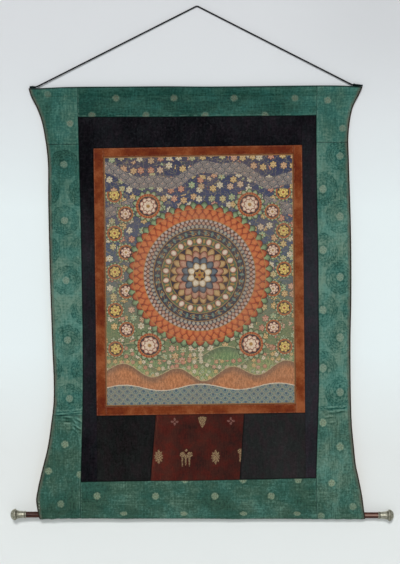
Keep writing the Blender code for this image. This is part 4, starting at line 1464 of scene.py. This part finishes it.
RUST_LEFT_FADE = Fade((400, 501, 581, 661, 742, 902, 983, 1063),
                      (0.38, 0.43, 0.57, 0.38, 0.49, 0.45, 0.56, 0.46))
RUST_RIGHT_FADE = Fade((400, 581, 661, 822, 902, 983, 1063), (0.44, 0.49, 0.60, 0.65, 0.68, 0.59, 0.56))
RUST_TOP_FADE = Fade((-240, -154, 170, 235), (0.38, 0.42, 0.42, 0.28), True)
RUST_BOTTOM_FADE = Fade((-235, -160, -89, -24, 40, 105, 170, 235),
                        (0.38, 0.58, 0.64, 0.51, 0.50, 0.59, 0.51, 0.57), True)


@dataclass(frozen=True)
class Panel:
    """A sewn piece of the mount: a fine grid between two side lines, over rows from top to bottom."""
    name: str
    finish: Finish
    lines: Lines                  # its left and right side
    rows: list[Row]
    fade: Fade
    hangs_from: str
    thickness: float = SILK_THICKNESS
    motifs: tuple[Motif, ...] = ()
    turned: bool = False          # the cloth was cut with its warp lying across
    ruled: tuple[float, float] | None = None   # its size, where its own coordinates run along its edges
    outer_side: int = 0           # -1 or 1 where its left or right side is the mount's outer edge
    fine_rows: tuple[bool, bool] = (True, True)       # whether its top and its bottom are seams
    soft_sides: tuple[bool, bool] = (False, False)    # seams between two pieces of the same silk
    soft_ends: tuple[bool, bool] = (False, False)
    fold_half: float = 4.6        # how far the painted shade along the fold over the stave reaches; on the lining it also places stain
    stitch_shade_and_stain_gap: float = 0.9      # how near to an edge the cloth counts at the upper stitches: painted shade along them, and stain on the lining
    lower_shade_and_stain_gap: float = 6.5       # and at the lower ones, far enough to leave out painted shade and highlight there; the lining keeps some stain
    # the drawn ridges' slope, which the green finish paints as light on their upper sides and shade below
    drawn_step: float = 2.0       # the slope of the drawn ridges is taken over this much to both sides
    drawn_slope: float = 1.3      # the rise over it that counts as 1

    def build(self, with_pieces: Sequence[bpy.types.Object] = ()) -> bpy.types.Object:
        """Args:
            with_pieces: Narrow pieces that are sewn to it; not used.

        Returns:
            The piece.
        """
        left, right = self.lines
        drop = self.rows[len(self.rows) // 2](np.zeros(1))[1]
        shares = np.array(shares_between(float((right.at(drop) - left.at(drop))[0])))
        settled = [settle(row, lambda drop: left.at(drop) + (right.at(drop) - left.at(drop)) * shares)
                   for row in self.rows]
        x, back, drop, lay = np.moveaxis(np.array(settled), 1, 0)
        to_left, to_right = x - left.at(drop), right.at(drop) - x
        to_top, to_bottom = lay - lay[0], lay[-1] - lay
        seams = np.minimum(to_left, to_right)
        for at_seam, distance in zip(self.fine_rows, (to_top, to_bottom)):
            seams = np.minimum(seams, distance) if at_seam else seams
        # Painted shade along the fold over the stave and along the upper stitches: the cloth counts as near
        # an edge there
        if not self.fine_rows[0]:
            past_fold = np.maximum(np.abs(lay - lay[drop[:, 0].argmin()]) - self.fold_half, 0.0)
            to_top = np.minimum(0.15 + 0.8 * past_fold, self.stitch_shade_and_stain_gap + np.abs(lay - STAVE_STITCHES.at(x)))
        if not self.fine_rows[1]:
            to_bottom = self.lower_shade_and_stain_gap + np.abs(lay - ROD_STITCHES.at(x))
        back = back + SEAM_DIP * bump(seams, SEAM_REACH)
        soft = np.array((*self.soft_sides, *self.soft_ends)) * (SOFT_SIDE, SOFT_SIDE, SOFT_END, SOFT_END)
        edges = np.clip(np.stack([to_left, to_right, to_top, to_bottom], -1) + soft, 0.0, FAR_FROM_EDGE)
        piece = make_piece(self.name + "_cloth", np.stack([x, back, drop], -1).reshape(-1, 3),
                           grid_faces(*x.shape), self.finish, self.name)
        self._write_attributes(piece, x, lay, edges)
        piece.data.materials.append(material_of(LINING))
        solidify = piece.modifiers.new("Thickness", "SOLIDIFY")
        solidify.thickness = self.thickness * MM
        solidify.offset = 0.0
        solidify.use_even_offset = True
        solidify.material_offset = 1
        self._declare(piece, x, lay)
        return piece

    def _write_attributes(self, piece: bpy.types.Object, x: Array, lay: Array, edges: Array) -> None:
        """Write what the finishes read: the cloth's own coordinates, its edges, motifs and fading.

        Args:
            piece: The piece.
            x: Each vertex's place across.
            lay: Its drop, as laid flat.
            edges: Its distances from the four edges.
        """
        own, motif = np.stack([x, -lay], -1), np.full((*x.shape, 3), NO_MOTIF)
        if self.motifs:
            centres = np.array([(m.x, -m.drop) for m in self.motifs])
            away = (own[:, :, None] - centres) / [(1.0, m.tall) for m in self.motifs]
            nearest = np.linalg.norm(away, axis=-1).argmin(-1)
            motif[..., :2] = np.take_along_axis(away, nearest[..., None, None], 2)[:, :, 0]
            motif[..., 2] = np.array([m.kind for m in self.motifs])[nearest]
            # No motif is drawn in the faces that lie between two of them
            around = np.pad(nearest, 1, mode="edge")
            rows, columns = nearest.shape
            for i in range(3):
                for j in range(3):
                    motif[around[i:i + rows, j:j + columns] != nearest, 2] = 0.0
        if self.ruled:
            share_across = (x - x[:, :1]) / (x[:, -1:] - x[:, :1]) - 0.5
            share_up = 0.5 - (lay - lay[0]) / (lay[-1] - lay[0])
            own = np.stack([share_across, share_up], -1) * self.ruled
        if self.turned:
            own = own[..., ::-1] * (1.0, -1.0)
            motif[..., :2] = motif[..., 1::-1] * (1.0, -1.0)
        outer = {-1: edges[..., 0], 0: np.full(x.shape, FAR_FROM_EDGE), 1: edges[..., 1]}[self.outer_side]
        # slope of the drawn ridges, read by the green finish as painted light and shade
        drawn = SURFACE.drawn(x, lay + self.drawn_step) - SURFACE.drawn(x, lay - self.drawn_step)
        fade = np.interp(x if self.fade.across else lay, self.fade.places, self.fade.shares)
        for name, values in (("lay", np.dstack([own, np.zeros(x.shape)])), ("edge", edges), ("motif", motif),
                             ("fade", fade), ("outer", outer), ("drawn", drawn / self.drawn_slope)):
            write_attribute(piece, name, values)

    def _declare(self, piece: bpy.types.Object, x: Array, lay: Array) -> None:
        """Args:
            piece: The piece.
            x: Each vertex's place across.
            lay: Its drop, as laid flat.
        """
        width, length = float(np.ptp(x)), float(np.ptp(lay))
        LOG.info("%s: cut %.0f by %.0f mm", piece.name, width, length)


@dataclass(frozen=True)
class RolledEdge:
    """The silk that is rolled round an outer edge of the mount and whipped down with thread."""
    name: str
    line: Line                    # the middle of the edge
    rows: list[Row]
    pitch: float = 3.0            # from one turn of the thread to the next
    step: float = 0.55
    half_width: float = 1.45
    half_depth: float = 0.78
    full_depth: float = 1.05      # where the cloth is single
    single_from: float = 262.0    # the drops between which it is
    single_to: float = 1345.0
    growth: float = 20.0
    thread_height: float = 0.13
    unevenness: float = 0.06
    sides: int = 10

    def build(self) -> bpy.types.Object:
        """Build the edge."""
        route = np.array([np.ravel(settle(row, self.line.at))[:3] for row in self.rows])
        walked = walk(route)
        keep = np.concatenate([[True], np.diff(walked) > 0.01])
        route, walked = route[keep], walked[keep]
        along = np.arange(0.0, walked[-1], self.step)
        path = np.stack([np.interp(along, walked, route[:, axis]) for axis in range(3)], -1)
        drop = path[:, 2]
        single = ease((drop - self.single_from) / self.growth) * ease((self.single_to - drop) / self.growth)
        turns = np.cos(math.tau * along[:, None] / self.pitch - angles_of(self.sides))
        grow = 1 + self.thread_height * turns
        wobble = 1 + self.unevenness * np.sin(along / 11.0) * np.sin(along / 3.7)
        deep = (self.half_depth + (self.full_depth - self.half_depth) * single)[:, None] * grow
        mesh = tube(path, self.half_width * grow * wobble[:, None], deep, across=(1.0, 0.0, 0.0))
        return make_piece(self.name + "_edge", *mesh, EDGE_THREAD, self.name)


def motifs(*rows: tuple[float, ...]) -> tuple[Motif, ...]:
    """Make motifs from rows of their fields."""
    return tuple(Motif(*row) for row in rows)


HALF_ROUNDEL = 0.12           # strength of a roundel without a disc, cut by a seam
LOWER_TALL = 0.6
SIDE_TALL = 1.15


@dataclass(frozen=True)
class Mount:
    """The sewn cloths of the scroll: painting, rust borders, black field, door and green frame."""
    painting_size: tuple[float, float] = (513.0, 674.0)
    top_height: float = 56.0      # from the stave's stitches to the black field
    bottom_height: float = 79.0
    flare_top_height: float = 130.0
    flare_bottom_height: float = 255.0
    drawn_above: float = 27.0     # where the cloth is drawn beside the lower flares' seams
    drawn_below: float = 51.0
    discs_left: tuple[Motif, ...] = motifs(
        (-403.1, 237.6, 0.5), (-342.9, 316.2, 0.85), (-359.1, 427.1, 0.8), (-357.8, 578.1, 0.9),
        (-353.4, 740.1, 0.9), (-349.9, 901.0, 0.85), (-344.3, 1058.9, 0.9), (-356.4, 1182.9, 0.9),
        (-401.0, 1254.7, 0.95), (-367.2, 1343.8, 0.7), (-316.0, 1264.5, 0.8), (-400.0, 1202.0, 0.15),
        *((x, drop, HALF_ROUNDEL) for drop, *pair in ((502.6, -411.0, -308.0), (659.1, -409.0, -305.0),
                                                      (820.5, -407.0, -302.0), (980.0, -403.0, -300.0))
          for x in pair))
    discs_right: tuple[Motif, ...] = motifs(
        (352.6, 254.1, 0.75), (392.3, 329.9, 0.7), (386.1, 404.2, 0.75), (340.2, 493.3, 0.95, SIDE_TALL),
        *((386.1, drop, 0.85, SIDE_TALL) for drop in (730.9, 894.2, 1041.4)),
        *((386.1, drop, 0.8, SIDE_TALL) for drop in (567.8, 1188.8)),
        *((340.2, drop, 0.9, SIDE_TALL) for drop in (658.0, 820.0, 976.6, 1124.3)),
        (363.4, 1286.6, 1.0), (420.7, 1350.5, 0.6), (334.8, 1377.5, 0.6),
        *((433.0, drop, HALF_ROUNDEL, SIDE_TALL) for drop in (493.3, 658.0, 820.0, 976.6)))
    discs_top: tuple[Motif, ...] = motifs(
        (-218.7, 247.6, 0.8), (-62.1, 247.6, 0.75), (99.9, 247.6, 0.75), (264.6, 247.6, 0.7),
        *((x, 294.3, 0.8) for x in (-283.5, -137.7, 21.6, 183.6)))
    discs_bottom: tuple[Motif, ...] = motifs(
        (-270.0, 1322.2, 0.9), (-111.8, 1322.2, 0.9), (48.3, 1322.2, 0.9), (200.3, 1322.2, 0.85),
        *((x, 1370.5, 0.85, LOWER_TALL) for x in (-197.1, -35.9, 125.6)), (270.0, 1370.5, 0.8, LOWER_TALL),
        (-32.4, 1278.2, 0.9), (124.2, 1278.2, 0.9), (272.7, 1278.2, 0.8))
    flowers: tuple[Motif, ...] = motifs(
        (-60.2, 1121.9, Flower.CROSS.value), (14.3, 1121.9, Flower.TULIP.value),
        (91.5, 1119.7, Flower.CROSS.value),
        (-103.4, 1216.1, Flower.BURST.value), (-29.2, 1216.9, Flower.SPRAY.value),
        (50.2, 1216.9, Flower.BURST.value), (116.9, 1211.5, Flower.BUD.value))

    def build(self) -> None:
        """Build every sewn piece, seam by seam."""
        self._build_middle()
        self._build_black()
        self._build_green()

    @staticmethod
    def _between(upper: Line, lower: Line, drawn: float = 0.0) -> list[Row]:
        """Give rows between two seams that run across, the lower one drawn over a length above it."""
        height = float(np.mean(lower.at(np.zeros(1)) - upper.at(np.zeros(1))))
        return flat_rows(upper.moved(SEAM_HALF), lower.moved(-SEAM_HALF), height, close=(0.0, drawn))

    @staticmethod
    def _sides(left: Line, right: Line) -> Lines:
        """Give the side lines of a panel between two seams that run down."""
        return left.moved(SEAM_HALF), right.moved(-SEAM_HALF)

    def _build_middle(self) -> None:
        """Build the painting, its four rust borders and the door."""
        picture = self._sides(PAINTING_LEFT, PAINTING_RIGHT)
        Panel("painting", PAINT, picture, self._between(PAINTING_TOP, PAINTING_BOTTOM), EVEN,
              "border_top_cloth", ruled=self.painting_size).build()
        upright = self._between(BORDER_TOP_SEAM, BORDER_BOTTOM_SEAM)
        for name, lines, rows, fade, hangs_from in (
                ("left", self._sides(LEFT_BORDER_SEAM, PAINTING_LEFT), upright, RUST_LEFT_FADE,
                 "black_top_cloth"),
                ("right", self._sides(PAINTING_RIGHT, RIGHT_BORDER_SEAM), upright, RUST_RIGHT_FADE,
                 "black_top_cloth"),
                ("top", picture, self._between(BORDER_TOP_SEAM, PAINTING_TOP), RUST_TOP_FADE,
                 "black_top_cloth"),
                ("bottom", picture, self._between(PAINTING_BOTTOM, BORDER_BOTTOM_SEAM), RUST_BOTTOM_FADE,
                 "painting_cloth")):
            Panel("border_" + name, RUST, lines, rows, fade, hangs_from, BORDER_THICKNESS,
                  turned=name == "right").build()
        door_rows = self._between(BORDER_BOTTOM_SEAM, BLACK_BOTTOM_SEAM)
        Panel("door", MAROON, self._sides(DOOR_LEFT, DOOR_RIGHT), door_rows, EVEN, "border_bottom_cloth",
              motifs=self.flowers).build()

    def _build_black(self) -> None:
        """Build the five pieces of the black field."""
        upright = self._between(BLACK_TOP_SEAM, BLACK_BOTTOM_SEAM)
        above = self._between(BLACK_TOP_SEAM, BORDER_TOP_SEAM)
        below = self._between(BORDER_BOTTOM_SEAM, BLACK_BOTTOM_SEAM)
        for name, finish, left, right, rows, fade, soft in (
                ("left", BLACK, LEFT_LONG_SEAM, LEFT_BORDER_SEAM, upright,
                 BLACK_LEFT_FADE, (False, True)),
                ("right", BLACK, RIGHT_BORDER_SEAM, RIGHT_LONG_SEAM, upright,
                 BLACK_RIGHT_FADE, (True, False)),
                ("top", BLACK, LEFT_BORDER_SEAM, RIGHT_BORDER_SEAM, above,
                 BLACK_TOP_FADE, (True, True)),
                ("bottom_left", LOWER_BLACK, LEFT_BORDER_SEAM, DOOR_LEFT, below,
                 BLACK_LOW_FADE, (True, False)),
                ("bottom_right", LOWER_BLACK, DOOR_RIGHT, RIGHT_BORDER_SEAM, below,
                 BLACK_LOW_FADE, (False, True))):
            hangs_from = "border_bottom_cloth" if rows is below else "green_top_cloth"
            Panel("black_" + name, finish, self._sides(left, right), rows, fade, hangs_from,
                  soft_sides=soft).build()

    def _build_green(self) -> None:
        """Build the green frame with its two sleeves, and the rolled outer edges."""
        stave_rows, rod_rows = StaveSleeve().rows(), RodSleeve().rows()

        def from_fold(lower: Line, height: float) -> list[Row]:
            """Give rows from the top sleeve's flap down to a seam."""
            return stave_rows + flat_rows(STAVE_STITCHES, lower.moved(-SEAM_HALF), height, (False, True))

        def to_rod(upper: Line, height: float, drawn: float = 0.0) -> list[Row]:
            """Give rows from a seam, drawn below it, round the rod to the lower sleeve's flap."""
            flat = flat_rows(upper.moved(SEAM_HALF), ROD_STITCHES, height, (True, False), (drawn, 0.0))
            return flat + rod_rows

        inner = self._sides(LEFT_LONG_SEAM, RIGHT_LONG_SEAM)
        for name, finish, rows, fade, hangs_from, discs, fine in (
                ("top", UPPER_DAMASK, from_fold(BLACK_TOP_SEAM, self.top_height), GREEN_TOP_FADE,
                 "top_stave", self.discs_top, (False, True)),
                ("bottom", LOWER_DAMASK, to_rod(BLACK_BOTTOM_SEAM, self.bottom_height), GREEN_BOTTOM_FADE,
                 "door_cloth", self.discs_bottom, (True, False))):
            Panel("green_" + name, finish, inner, rows, fade, hangs_from, motifs=discs, turned=True,
                  fine_rows=fine, soft_sides=(True, True)).build()
        for side, way, edge, seam, upper_seam, lower_seam, discs, fade in (
                ("left", -1, LEFT_EDGE, LEFT_LONG_SEAM, FLARE_TOP_LEFT_SEAM, FLARE_BOTTOM_LEFT_SEAM,
                 self.discs_left, GREEN_LEFT_FADE),
                ("right", 1, RIGHT_EDGE, RIGHT_LONG_SEAM, FLARE_TOP_RIGHT_SEAM, FLARE_BOTTOM_RIGHT_SEAM,
                 self.discs_right, GREEN_RIGHT_FADE)):
            flare_top = from_fold(upper_seam, self.flare_top_height)
            middle = self._between(upper_seam, lower_seam, self.drawn_above)
            flare_bottom = to_rod(lower_seam, self.flare_bottom_height, self.drawn_below)
            trim = RolledEdge("binding_" + side, edge.moved(-way * BINDING_WIDTH / 2),
                              flare_top + middle[1:] + flare_bottom[1:]).build()
            lines = (edge.moved(-way * (BINDING_WIDTH - BINDING_LAP)), seam.moved(way * SEAM_HALF))[::-way]
            panel = partial(Panel, lines=lines, fade=fade, motifs=discs, outer_side=way)
            panel("flare_top_" + side, UPPER_DAMASK, rows=flare_top, hangs_from="top_stave",
                  fine_rows=(False, True)).build()
            panel("green_" + side, DAMASK, rows=middle, hangs_from="flare_top_" + side + "_cloth",
                  soft_ends=(False, way == 1)).build([trim])
            panel("flare_bottom_" + side, LOWER_DAMASK, rows=flare_bottom,
                  hangs_from="green_" + side + "_cloth", fine_rows=(True, False),
                  soft_ends=(way == 1, False)).build()


def stitch(x: Array, back: Array, drop: Array, radius: Array, sides: int) -> tuple[Array, list]:
    """Make a stitch from the places along it and its radius there."""
    return tube(np.stack([x, back, drop], -1), radius[:, None] * np.ones((1, sides)))


@dataclass(frozen=True)
class RunningStitches:
    """A line of running stitches across the mount, on the front and on the back."""
    name: str
    line: Line
    left: float
    right: float
    length: float = 3.6
    pitch: float = 6.0
    radius: float = 0.34
    sides: int = 6

    def build(self) -> bpy.types.Object:
        """Build the stitches as one piece."""
        rng = np.random.default_rng(7)
        share = np.linspace(0.0, 1.0, 6)
        hump = np.sin(share * math.pi)
        stitches = []
        for start in np.arange(self.left, self.right - self.length, self.pitch):
            begin = start + rng.uniform(-0.5, 0.5)
            tilt, long = rng.uniform(-0.25, 0.25), self.length * rng.uniform(0.85, 1.12)
            for side, ahead, behind in ((-1.0, 0.0, 0.0), (1.0, self.pitch / 2, LAYER_PITCH)):
                x = begin + ahead + share * long
                back = side * SILK_THICKNESS / 2 + behind + side * (hump * 0.30 - 0.22)
                stitches.append(stitch(x, back, self.line.at(x) + tilt * (share - 0.5),
                                       self.radius * (0.35 + 0.65 * hump), self.sides))
        return make_piece(self.name, *joined(stitches), SEWING_THREAD)


@dataclass(frozen=True)
class WhipStitches:
    """Loose pale stitches round the left edge, where it was mended above the rod."""
    places: tuple[tuple[float, float], ...] = ((-426.8, 1336.2), (-426.3, 1345.0), (-426.7, 1352.9))
    length: float = 5.2
    slant: float = 0.9
    radius: float = 1.15
    sides: int = 7

    def build(self) -> bpy.types.Object:
        """Build the stitches as one piece."""
        share = np.linspace(0.0, 1.0, 9)
        hump = np.sin(share * math.pi)
        stitches = []
        for start_x, start_drop in self.places:
            x, drop = start_x + share * self.slant, start_drop + share * self.length
            back = SURFACE.back(x, drop) - 1.0 - 0.5 * hump
            stitches.append(stitch(x, back, drop, self.radius * (0.45 + 0.55 * hump), self.sides))
        return make_piece("mending_stitches", *joined(stitches), PALE_THREAD)


@dataclass(frozen=True)
class HangingCord:
    """The braided cord, laid on the fold at both ends and lashed there."""
    diameter: float = 3.8
    length: float = 998.0
    ring_pitch: float = 0.8
    line_pitch: float = 10.0
    sides: int = 16
    braid_height: float = 0.09
    braid_pitch: float = 5.2
    route: tuple[tuple[float, float], ...] = (
        (-450.5, 217.9), (-441.0, 218.0), (-435.5, 217.9), (-427.0, 214.3), (-390.0, 195.8), (-300.0, 150.4),
        (-200.0, 99.9), (-100.0, 49.5), (-40.0, 19.2), (-18.0, 8.1), (-9.0, 3.6), (-4.0, 1.0), (0.0, 0.0),
        (4.0, 1.0), (9.0, 3.6), (18.0, 8.1), (40.0, 19.3), (100.0, 49.8), (200.0, 100.6), (300.0, 151.4),
        (380.0, 192.0), (405.0, 204.7), (413.0, 208.6), (418.5, 211.1), (423.0, 212.4), (430.0, 212.8),
        (438.0, 213.3), (446.5, 213.8))

    def build(self) -> bpy.types.Object:
        route = np.array([(x, 0.0, drop) for x, drop in self.route])
        path = smooth_path(route, self.ring_pitch)
        walked = walk(path)
        angles = angles_of(self.sides)
        phase = math.tau * walked[:, None] / self.braid_pitch
        braid = np.maximum(np.cos(4 * angles + phase), np.cos(4 * angles - phase))
        mesh = tube(path, self.diameter / 2 * (1 + self.braid_height * (braid - 0.6)))
        piece = make_piece("hanging_cord_braid", *mesh, CORD_THREAD, "hanging_cord")
        line = smooth_path(route, self.line_pitch) * (MM, MM, -MM)
        LOG.info("%s: %.0f mm of path", piece.name, walked[-1])
        return piece


@dataclass(frozen=True)
class Lashing:
    """Thread wound tightly round an end of the cord, with a small knot."""
    name: str
    start: tuple[float, float, float]
    end: tuple[float, float, float]
    knot: float                   # share of the way along at which its knot sits
    radii: tuple[float, float]    # at its start and its end
    wall: float = 0.45
    thread: float = 0.9
    inner: float = 2.1
    step: float = 0.15
    knot_height: float = 0.9
    knot_length: float = 1.6
    sides: int = 20

    def build(self) -> bpy.types.Object:
        """Build the winding."""
        start, end = np.array(self.start), np.array(self.end)
        length = float(np.linalg.norm(end - start))
        along = np.arange(0.0, length, self.step)
        angles = angles_of(self.sides)
        coil = np.abs(np.cos(math.pi * along[:, None] / self.thread - angles / 2))
        knot = bump(along - self.knot * length, self.knot_length)[:, None]
        lift = self.knot_height * knot * bump(angles - math.pi * 1.5, 1.0)
        ends_in = ease(along / 0.6) * ease((length - along) / 0.6)
        outer = self.radii[0] + (self.radii[1] - self.radii[0]) * ease(along / length)[:, None]
        radius = self.inner + (outer - self.inner - self.wall + self.wall * coil + lift) * ends_in[:, None]
        mesh = tube(start + (end - start) * (along / length)[:, None], radius)
        return make_piece(self.name + "_winding", *mesh, LASHING_THREAD, self.name)


@dataclass(frozen=True)
class Rod:
    """The varnished roller rod, a little uneven, which reaches into both knobs."""
    socket: float = 21.7
    step: float = 4.0
    slack: float = 0.05
    unevenness: float = 0.06
    chamfer: float = 0.8
    sides: int = 48

    def build(self) -> bpy.types.Object:
        """Build the rod."""
        start, end = ROD_ENDS
        way = (end - start) / np.linalg.norm(end - start)
        start, end = start - way * self.socket, end + way * self.socket
        length = float(np.linalg.norm(end - start))
        along = np.concatenate([[0.0, self.chamfer], np.arange(self.step, length - self.step, self.step),
                                [length - self.chamfer, length]])
        waves = np.sin(along[:, None] / 23.0 + 2 * angles_of(self.sides)) * np.sin(along[:, None] / 57.0)
        radius = ROD_RADIUS - self.slack + self.unevenness * waves
        radius[[0, -1]] -= self.chamfer
        mesh = tube(start + way * along[:, None], radius)
        return make_piece("roller_rod_wood", *mesh, ROD_WOOD, "roller_rod")


@dataclass(frozen=True)
class Knob:
    """A turned and chased silver cap on an end of the rod, with a socket that the rod goes into."""
    name: str
    end: int                      # which end of the rod it is on: 0 for the left, 1 for the right
    sides: int = 120
    socket: tuple[tuple[float, float], ...] = ((0.0, 8.4), (22.0, 8.4), (22.0, 0.05))
    grooves: tuple[float, ...] = (3.25, 5.15, 24.15, 26.45, 32.15)
    groove_reach: float = 0.7
    runs: tuple[tuple[tuple[float, float], ...], ...] = (     # (along, radius) places between two grooves
        ((0.0, 9.2), (0.3, 9.7), (1.4, 10.05), (2.6, 9.8), (3.1, 9.2)),
        ((3.4, 9.1), (4.2, 9.5), (5.0, 9.1)),
        ((5.3, 9.0), (10.0, 9.2), (17.0, 9.9), (22.0, 11.1), (24.0, 11.7)),
        ((24.3, 11.5), (25.3, 12.4), (26.3, 12.2)),
        ((26.6, 12.3), (27.4, 14.3), (28.6, 15.4), (30.0, 15.7), (31.3, 15.4), (32.0, 14.9)),
        ((32.3, 14.7), (34.0, 14.5), (37.0, 12.5), (39.6, 9.4), (41.4, 5.6), (42.1, 2.0), (42.2, 0.05)))

    def build(self) -> bpy.types.Object:
        """Build the cap."""
        along, radius = np.concatenate([smooth_path(np.array(run), 0.45) for run in self.runs]).T
        angles = angles_of(self.sides)
        flutes = 0.016 * np.cos(12 * angles) * (ease((along - 7) / 4) * ease((24 - along) / 4))[:, None]
        milling = 0.011 * np.cos(40 * angles) * bump(along - 29.8, 1.8)[:, None]
        petal_share = ease((along - 33.5) / 1.5) * ease((41.5 - along) / 3)
        petals = 0.015 * np.cos(10 * angles) * petal_share[:, None]
        shaped = radius[:, None] * (1 + flutes + milling + petals)
        groove = sum(bump(along - place, self.groove_reach) for place in self.grooves)
        in_socket, reaches = np.array(self.socket).T
        way = (ROD_ENDS[1] - ROD_ENDS[0]) * (2 * self.end - 1)
        way = way / np.linalg.norm(way)
        along = np.concatenate([along[::-1], in_socket])
        shaped = np.concatenate([shaped[::-1], np.tile(reaches[:, None], self.sides)])
        mesh = tube(ROD_ENDS[self.end] + way * along[:, None], shaped, way=way)
        piece = make_piece(self.name + "_silver", *mesh, SILVER, self.name)
        shade = np.concatenate([groove[::-1], np.full(len(reaches), 0.5)])[:, None]
        plain = np.zeros((len(reaches), self.sides))
        relief = np.concatenate([(flutes + petals + milling)[::-1] * -30.0, plain])
        write_attribute(piece, "groove", np.clip(shade + relief, 0.0, 1.0))
        piece.data.set_sharp_from_angle(angle=math.radians(50))
        return piece


@dataclass(frozen=True)
class Stave:
    """The flat slat in the top sleeve, whose CAD shape stays."""
    node: str = "top_stave"

    def dress(self) -> None:
        """Give the slat its wood."""
        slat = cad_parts[self.node]
        for slot in slat.material_slots:
            slot.material = material_of(PLAIN_WOOD)
        LOG.info("%s: CAD shape, %s", slat.name, PLAIN_WOOD.slot)


@dataclass(frozen=True)
class Studio:
    """The pale wall and floor, the soft lights and the camera."""
    middle: tuple[float, float, float] = (8.1, -4500.0, -744.4)   # the camera's x, distance and height
    view_height: float = 1522.8
    sensor: float = 36.0
    wall_back: float = 2.9        # behind the cord's middle, which hangs nearest to the wall
    wall_lean: float = 0.0121     # from there down, away from the cloth
    wall_twist: float = 8.0e-6    # how its lower left part lies farther back, for each mm across and down
    twist_from: float = 450.0
    twist_width: float = 1500.0
    wall_top: float = -4000.0
    floor_drop: float = 1900.0
    half_width: float = 7000.0
    floor_depth: float = 9000.0
    wall_tones: tuple[Colour, ...] = (        # high, in the middle and low: painted shade, darkest high up
        linear(0.842, 0.850, 0.858), linear(0.893, 0.926, 0.928), linear(0.866, 0.880, 0.874))
    floor_tone: Colour = linear(0.88, 0.885, 0.885)
    corner_shade: float = 0.915   # the upper right corner is darker
    lights: tuple[tuple, ...] = (             # the way each light travels, its strength and its spread
        ("key_light", (0.06, 1.0, -0.50), 1.62, 10.0), ("front_light", (0.0, 1.0, -0.2), 0.50, 28.0),
        ("back_light", (0.3, -1.0, -0.5), 1.9, 40.0))
    sky: tuple[float, ...] = (0.93, 0.96, 1.0, 1.0)
    sky_strength: float = 0.262

    def place_camera(self) -> None:
        """Place the camera square in front of the mount."""
        data = bpy.data.cameras.new("camera")
        data.sensor_width = self.sensor
        data.lens = self.sensor * -self.middle[1] / self.view_height
        camera = bpy.data.objects.new("camera", data)
        camera.location = Vector(self.middle) * MM
        camera.rotation_euler = (math.pi / 2, 0.0, 0.0)
        bpy.context.scene.collection.objects.link(camera)
        bpy.context.scene.camera = camera

    def _plane(self, name: str, places: Array, colours: tuple[Colour, ...]) -> None:
        """Make a one-sided plane of the studio.

        Args:
            name: Its name.
            places: Its grid of vertices, as x, back and drop, from the top or the back.
            colours: Its colours where z is high, in the middle and where it is low.
        """
        nodes = Nodes(name)
        place = nodes.place()
        x, _, z = place.parts()
        high, middle, low = colours
        # painted shade on the wall: its tone changes with height, and the upper right corner is darker
        tone = z.rise(-1500.0, 0.0).ramp((0.0, low), (1.0, high), (0.10, low), (0.32, middle), (0.70, middle))
        dim_corner = x.rise(120.0, 520.0) * z.rise(-350.0, -20.0)
        tone = tone * place.noise(400).pick(0.985, 1.015) * dim_corner.pick(1.0, self.corner_shade)
        matt = nodes.add("BsdfDiffuse", {"Color": tone})
        clear = nodes.add("BsdfTransparent", {})
        behind = nodes.add("NewGeometry", {}, "Backfacing")
        nodes.add("OutputMaterial", {"Surface": nodes.add("MixShader", {0: behind, 1: matt, 2: clear})})
        plane = make_object(name, places.reshape(-1, 3), grid_faces(*places.shape[:2]), nodes.material)
        plane.visible_shadow = False

    def build(self) -> None:
        """Build the wall, floor and lights."""
        wide, deep, low = self.half_width, self.floor_depth, self.floor_drop
        drops, places = np.linspace(self.wall_top, low, 60), np.linspace(-wide, wide, 57)
        drop, x = np.meshgrid(drops, places, indexing="ij")
        twist = self.wall_twist * np.clip(self.twist_from - x, 0.0, self.twist_width)
        back = self.wall_back + (self.wall_lean + twist) * drop
        self._plane("wall", np.stack([x, back, drop], -1), self.wall_tones)
        self._plane("floor", np.array([[(x, y, low) for x in (-wide, wide)] for y in (deep, -deep)]),
                    (self.floor_tone,) * 3)
        for name, toward, strength, spread in self.lights:
            data = bpy.data.lights.new(name, "SUN")
            data.energy = strength
            data.angle = math.radians(spread)
            light = bpy.data.objects.new(name, data)
            light.rotation_euler = Vector(toward).to_track_quat("-Z", "Y").to_euler()
            bpy.context.scene.collection.objects.link(light)
        scene = bpy.context.scene
        scene.view_settings.view_transform = "Standard"
        scene.world = bpy.data.worlds.new("studio")
        scene.world.use_nodes = True
        background = scene.world.node_tree.nodes["Background"]
        background.inputs["Color"].default_value = self.sky
        background.inputs["Strength"].default_value = self.sky_strength
        LOG.info("studio: wall, floor and three lights")


def main() -> None:
    """Build everything in order."""
    logging.basicConfig(level=logging.INFO, format="%(message)s")
    studio = Studio()
    studio.place_camera()
    HangingCord().build()
    Lashing("cord_lashing_left", (-452.0, 0.0, 218.1), (-436.0, 0.0, 218.2), 0.55, (2.75, 2.75)).build()
    Lashing("cord_lashing_right", (420.5, 0.0, 211.9), (447.5, 0.0, 214.0), 0.15, (3.3, 2.5)).build()
    Mount().build()
    Stave().dress()
    Rod().build()
    Knob("knob_left", 0).build()
    Knob("knob_right", 1).build()
    RunningStitches("stave_stitches", STAVE_STITCHES, -441.0, 431.0).build()
    RunningStitches("rod_stitches", ROD_STITCHES, -427.0, 447.0).build()
    WhipStitches().build()
    studio.build()


if __name__ == "__main__":
    main()
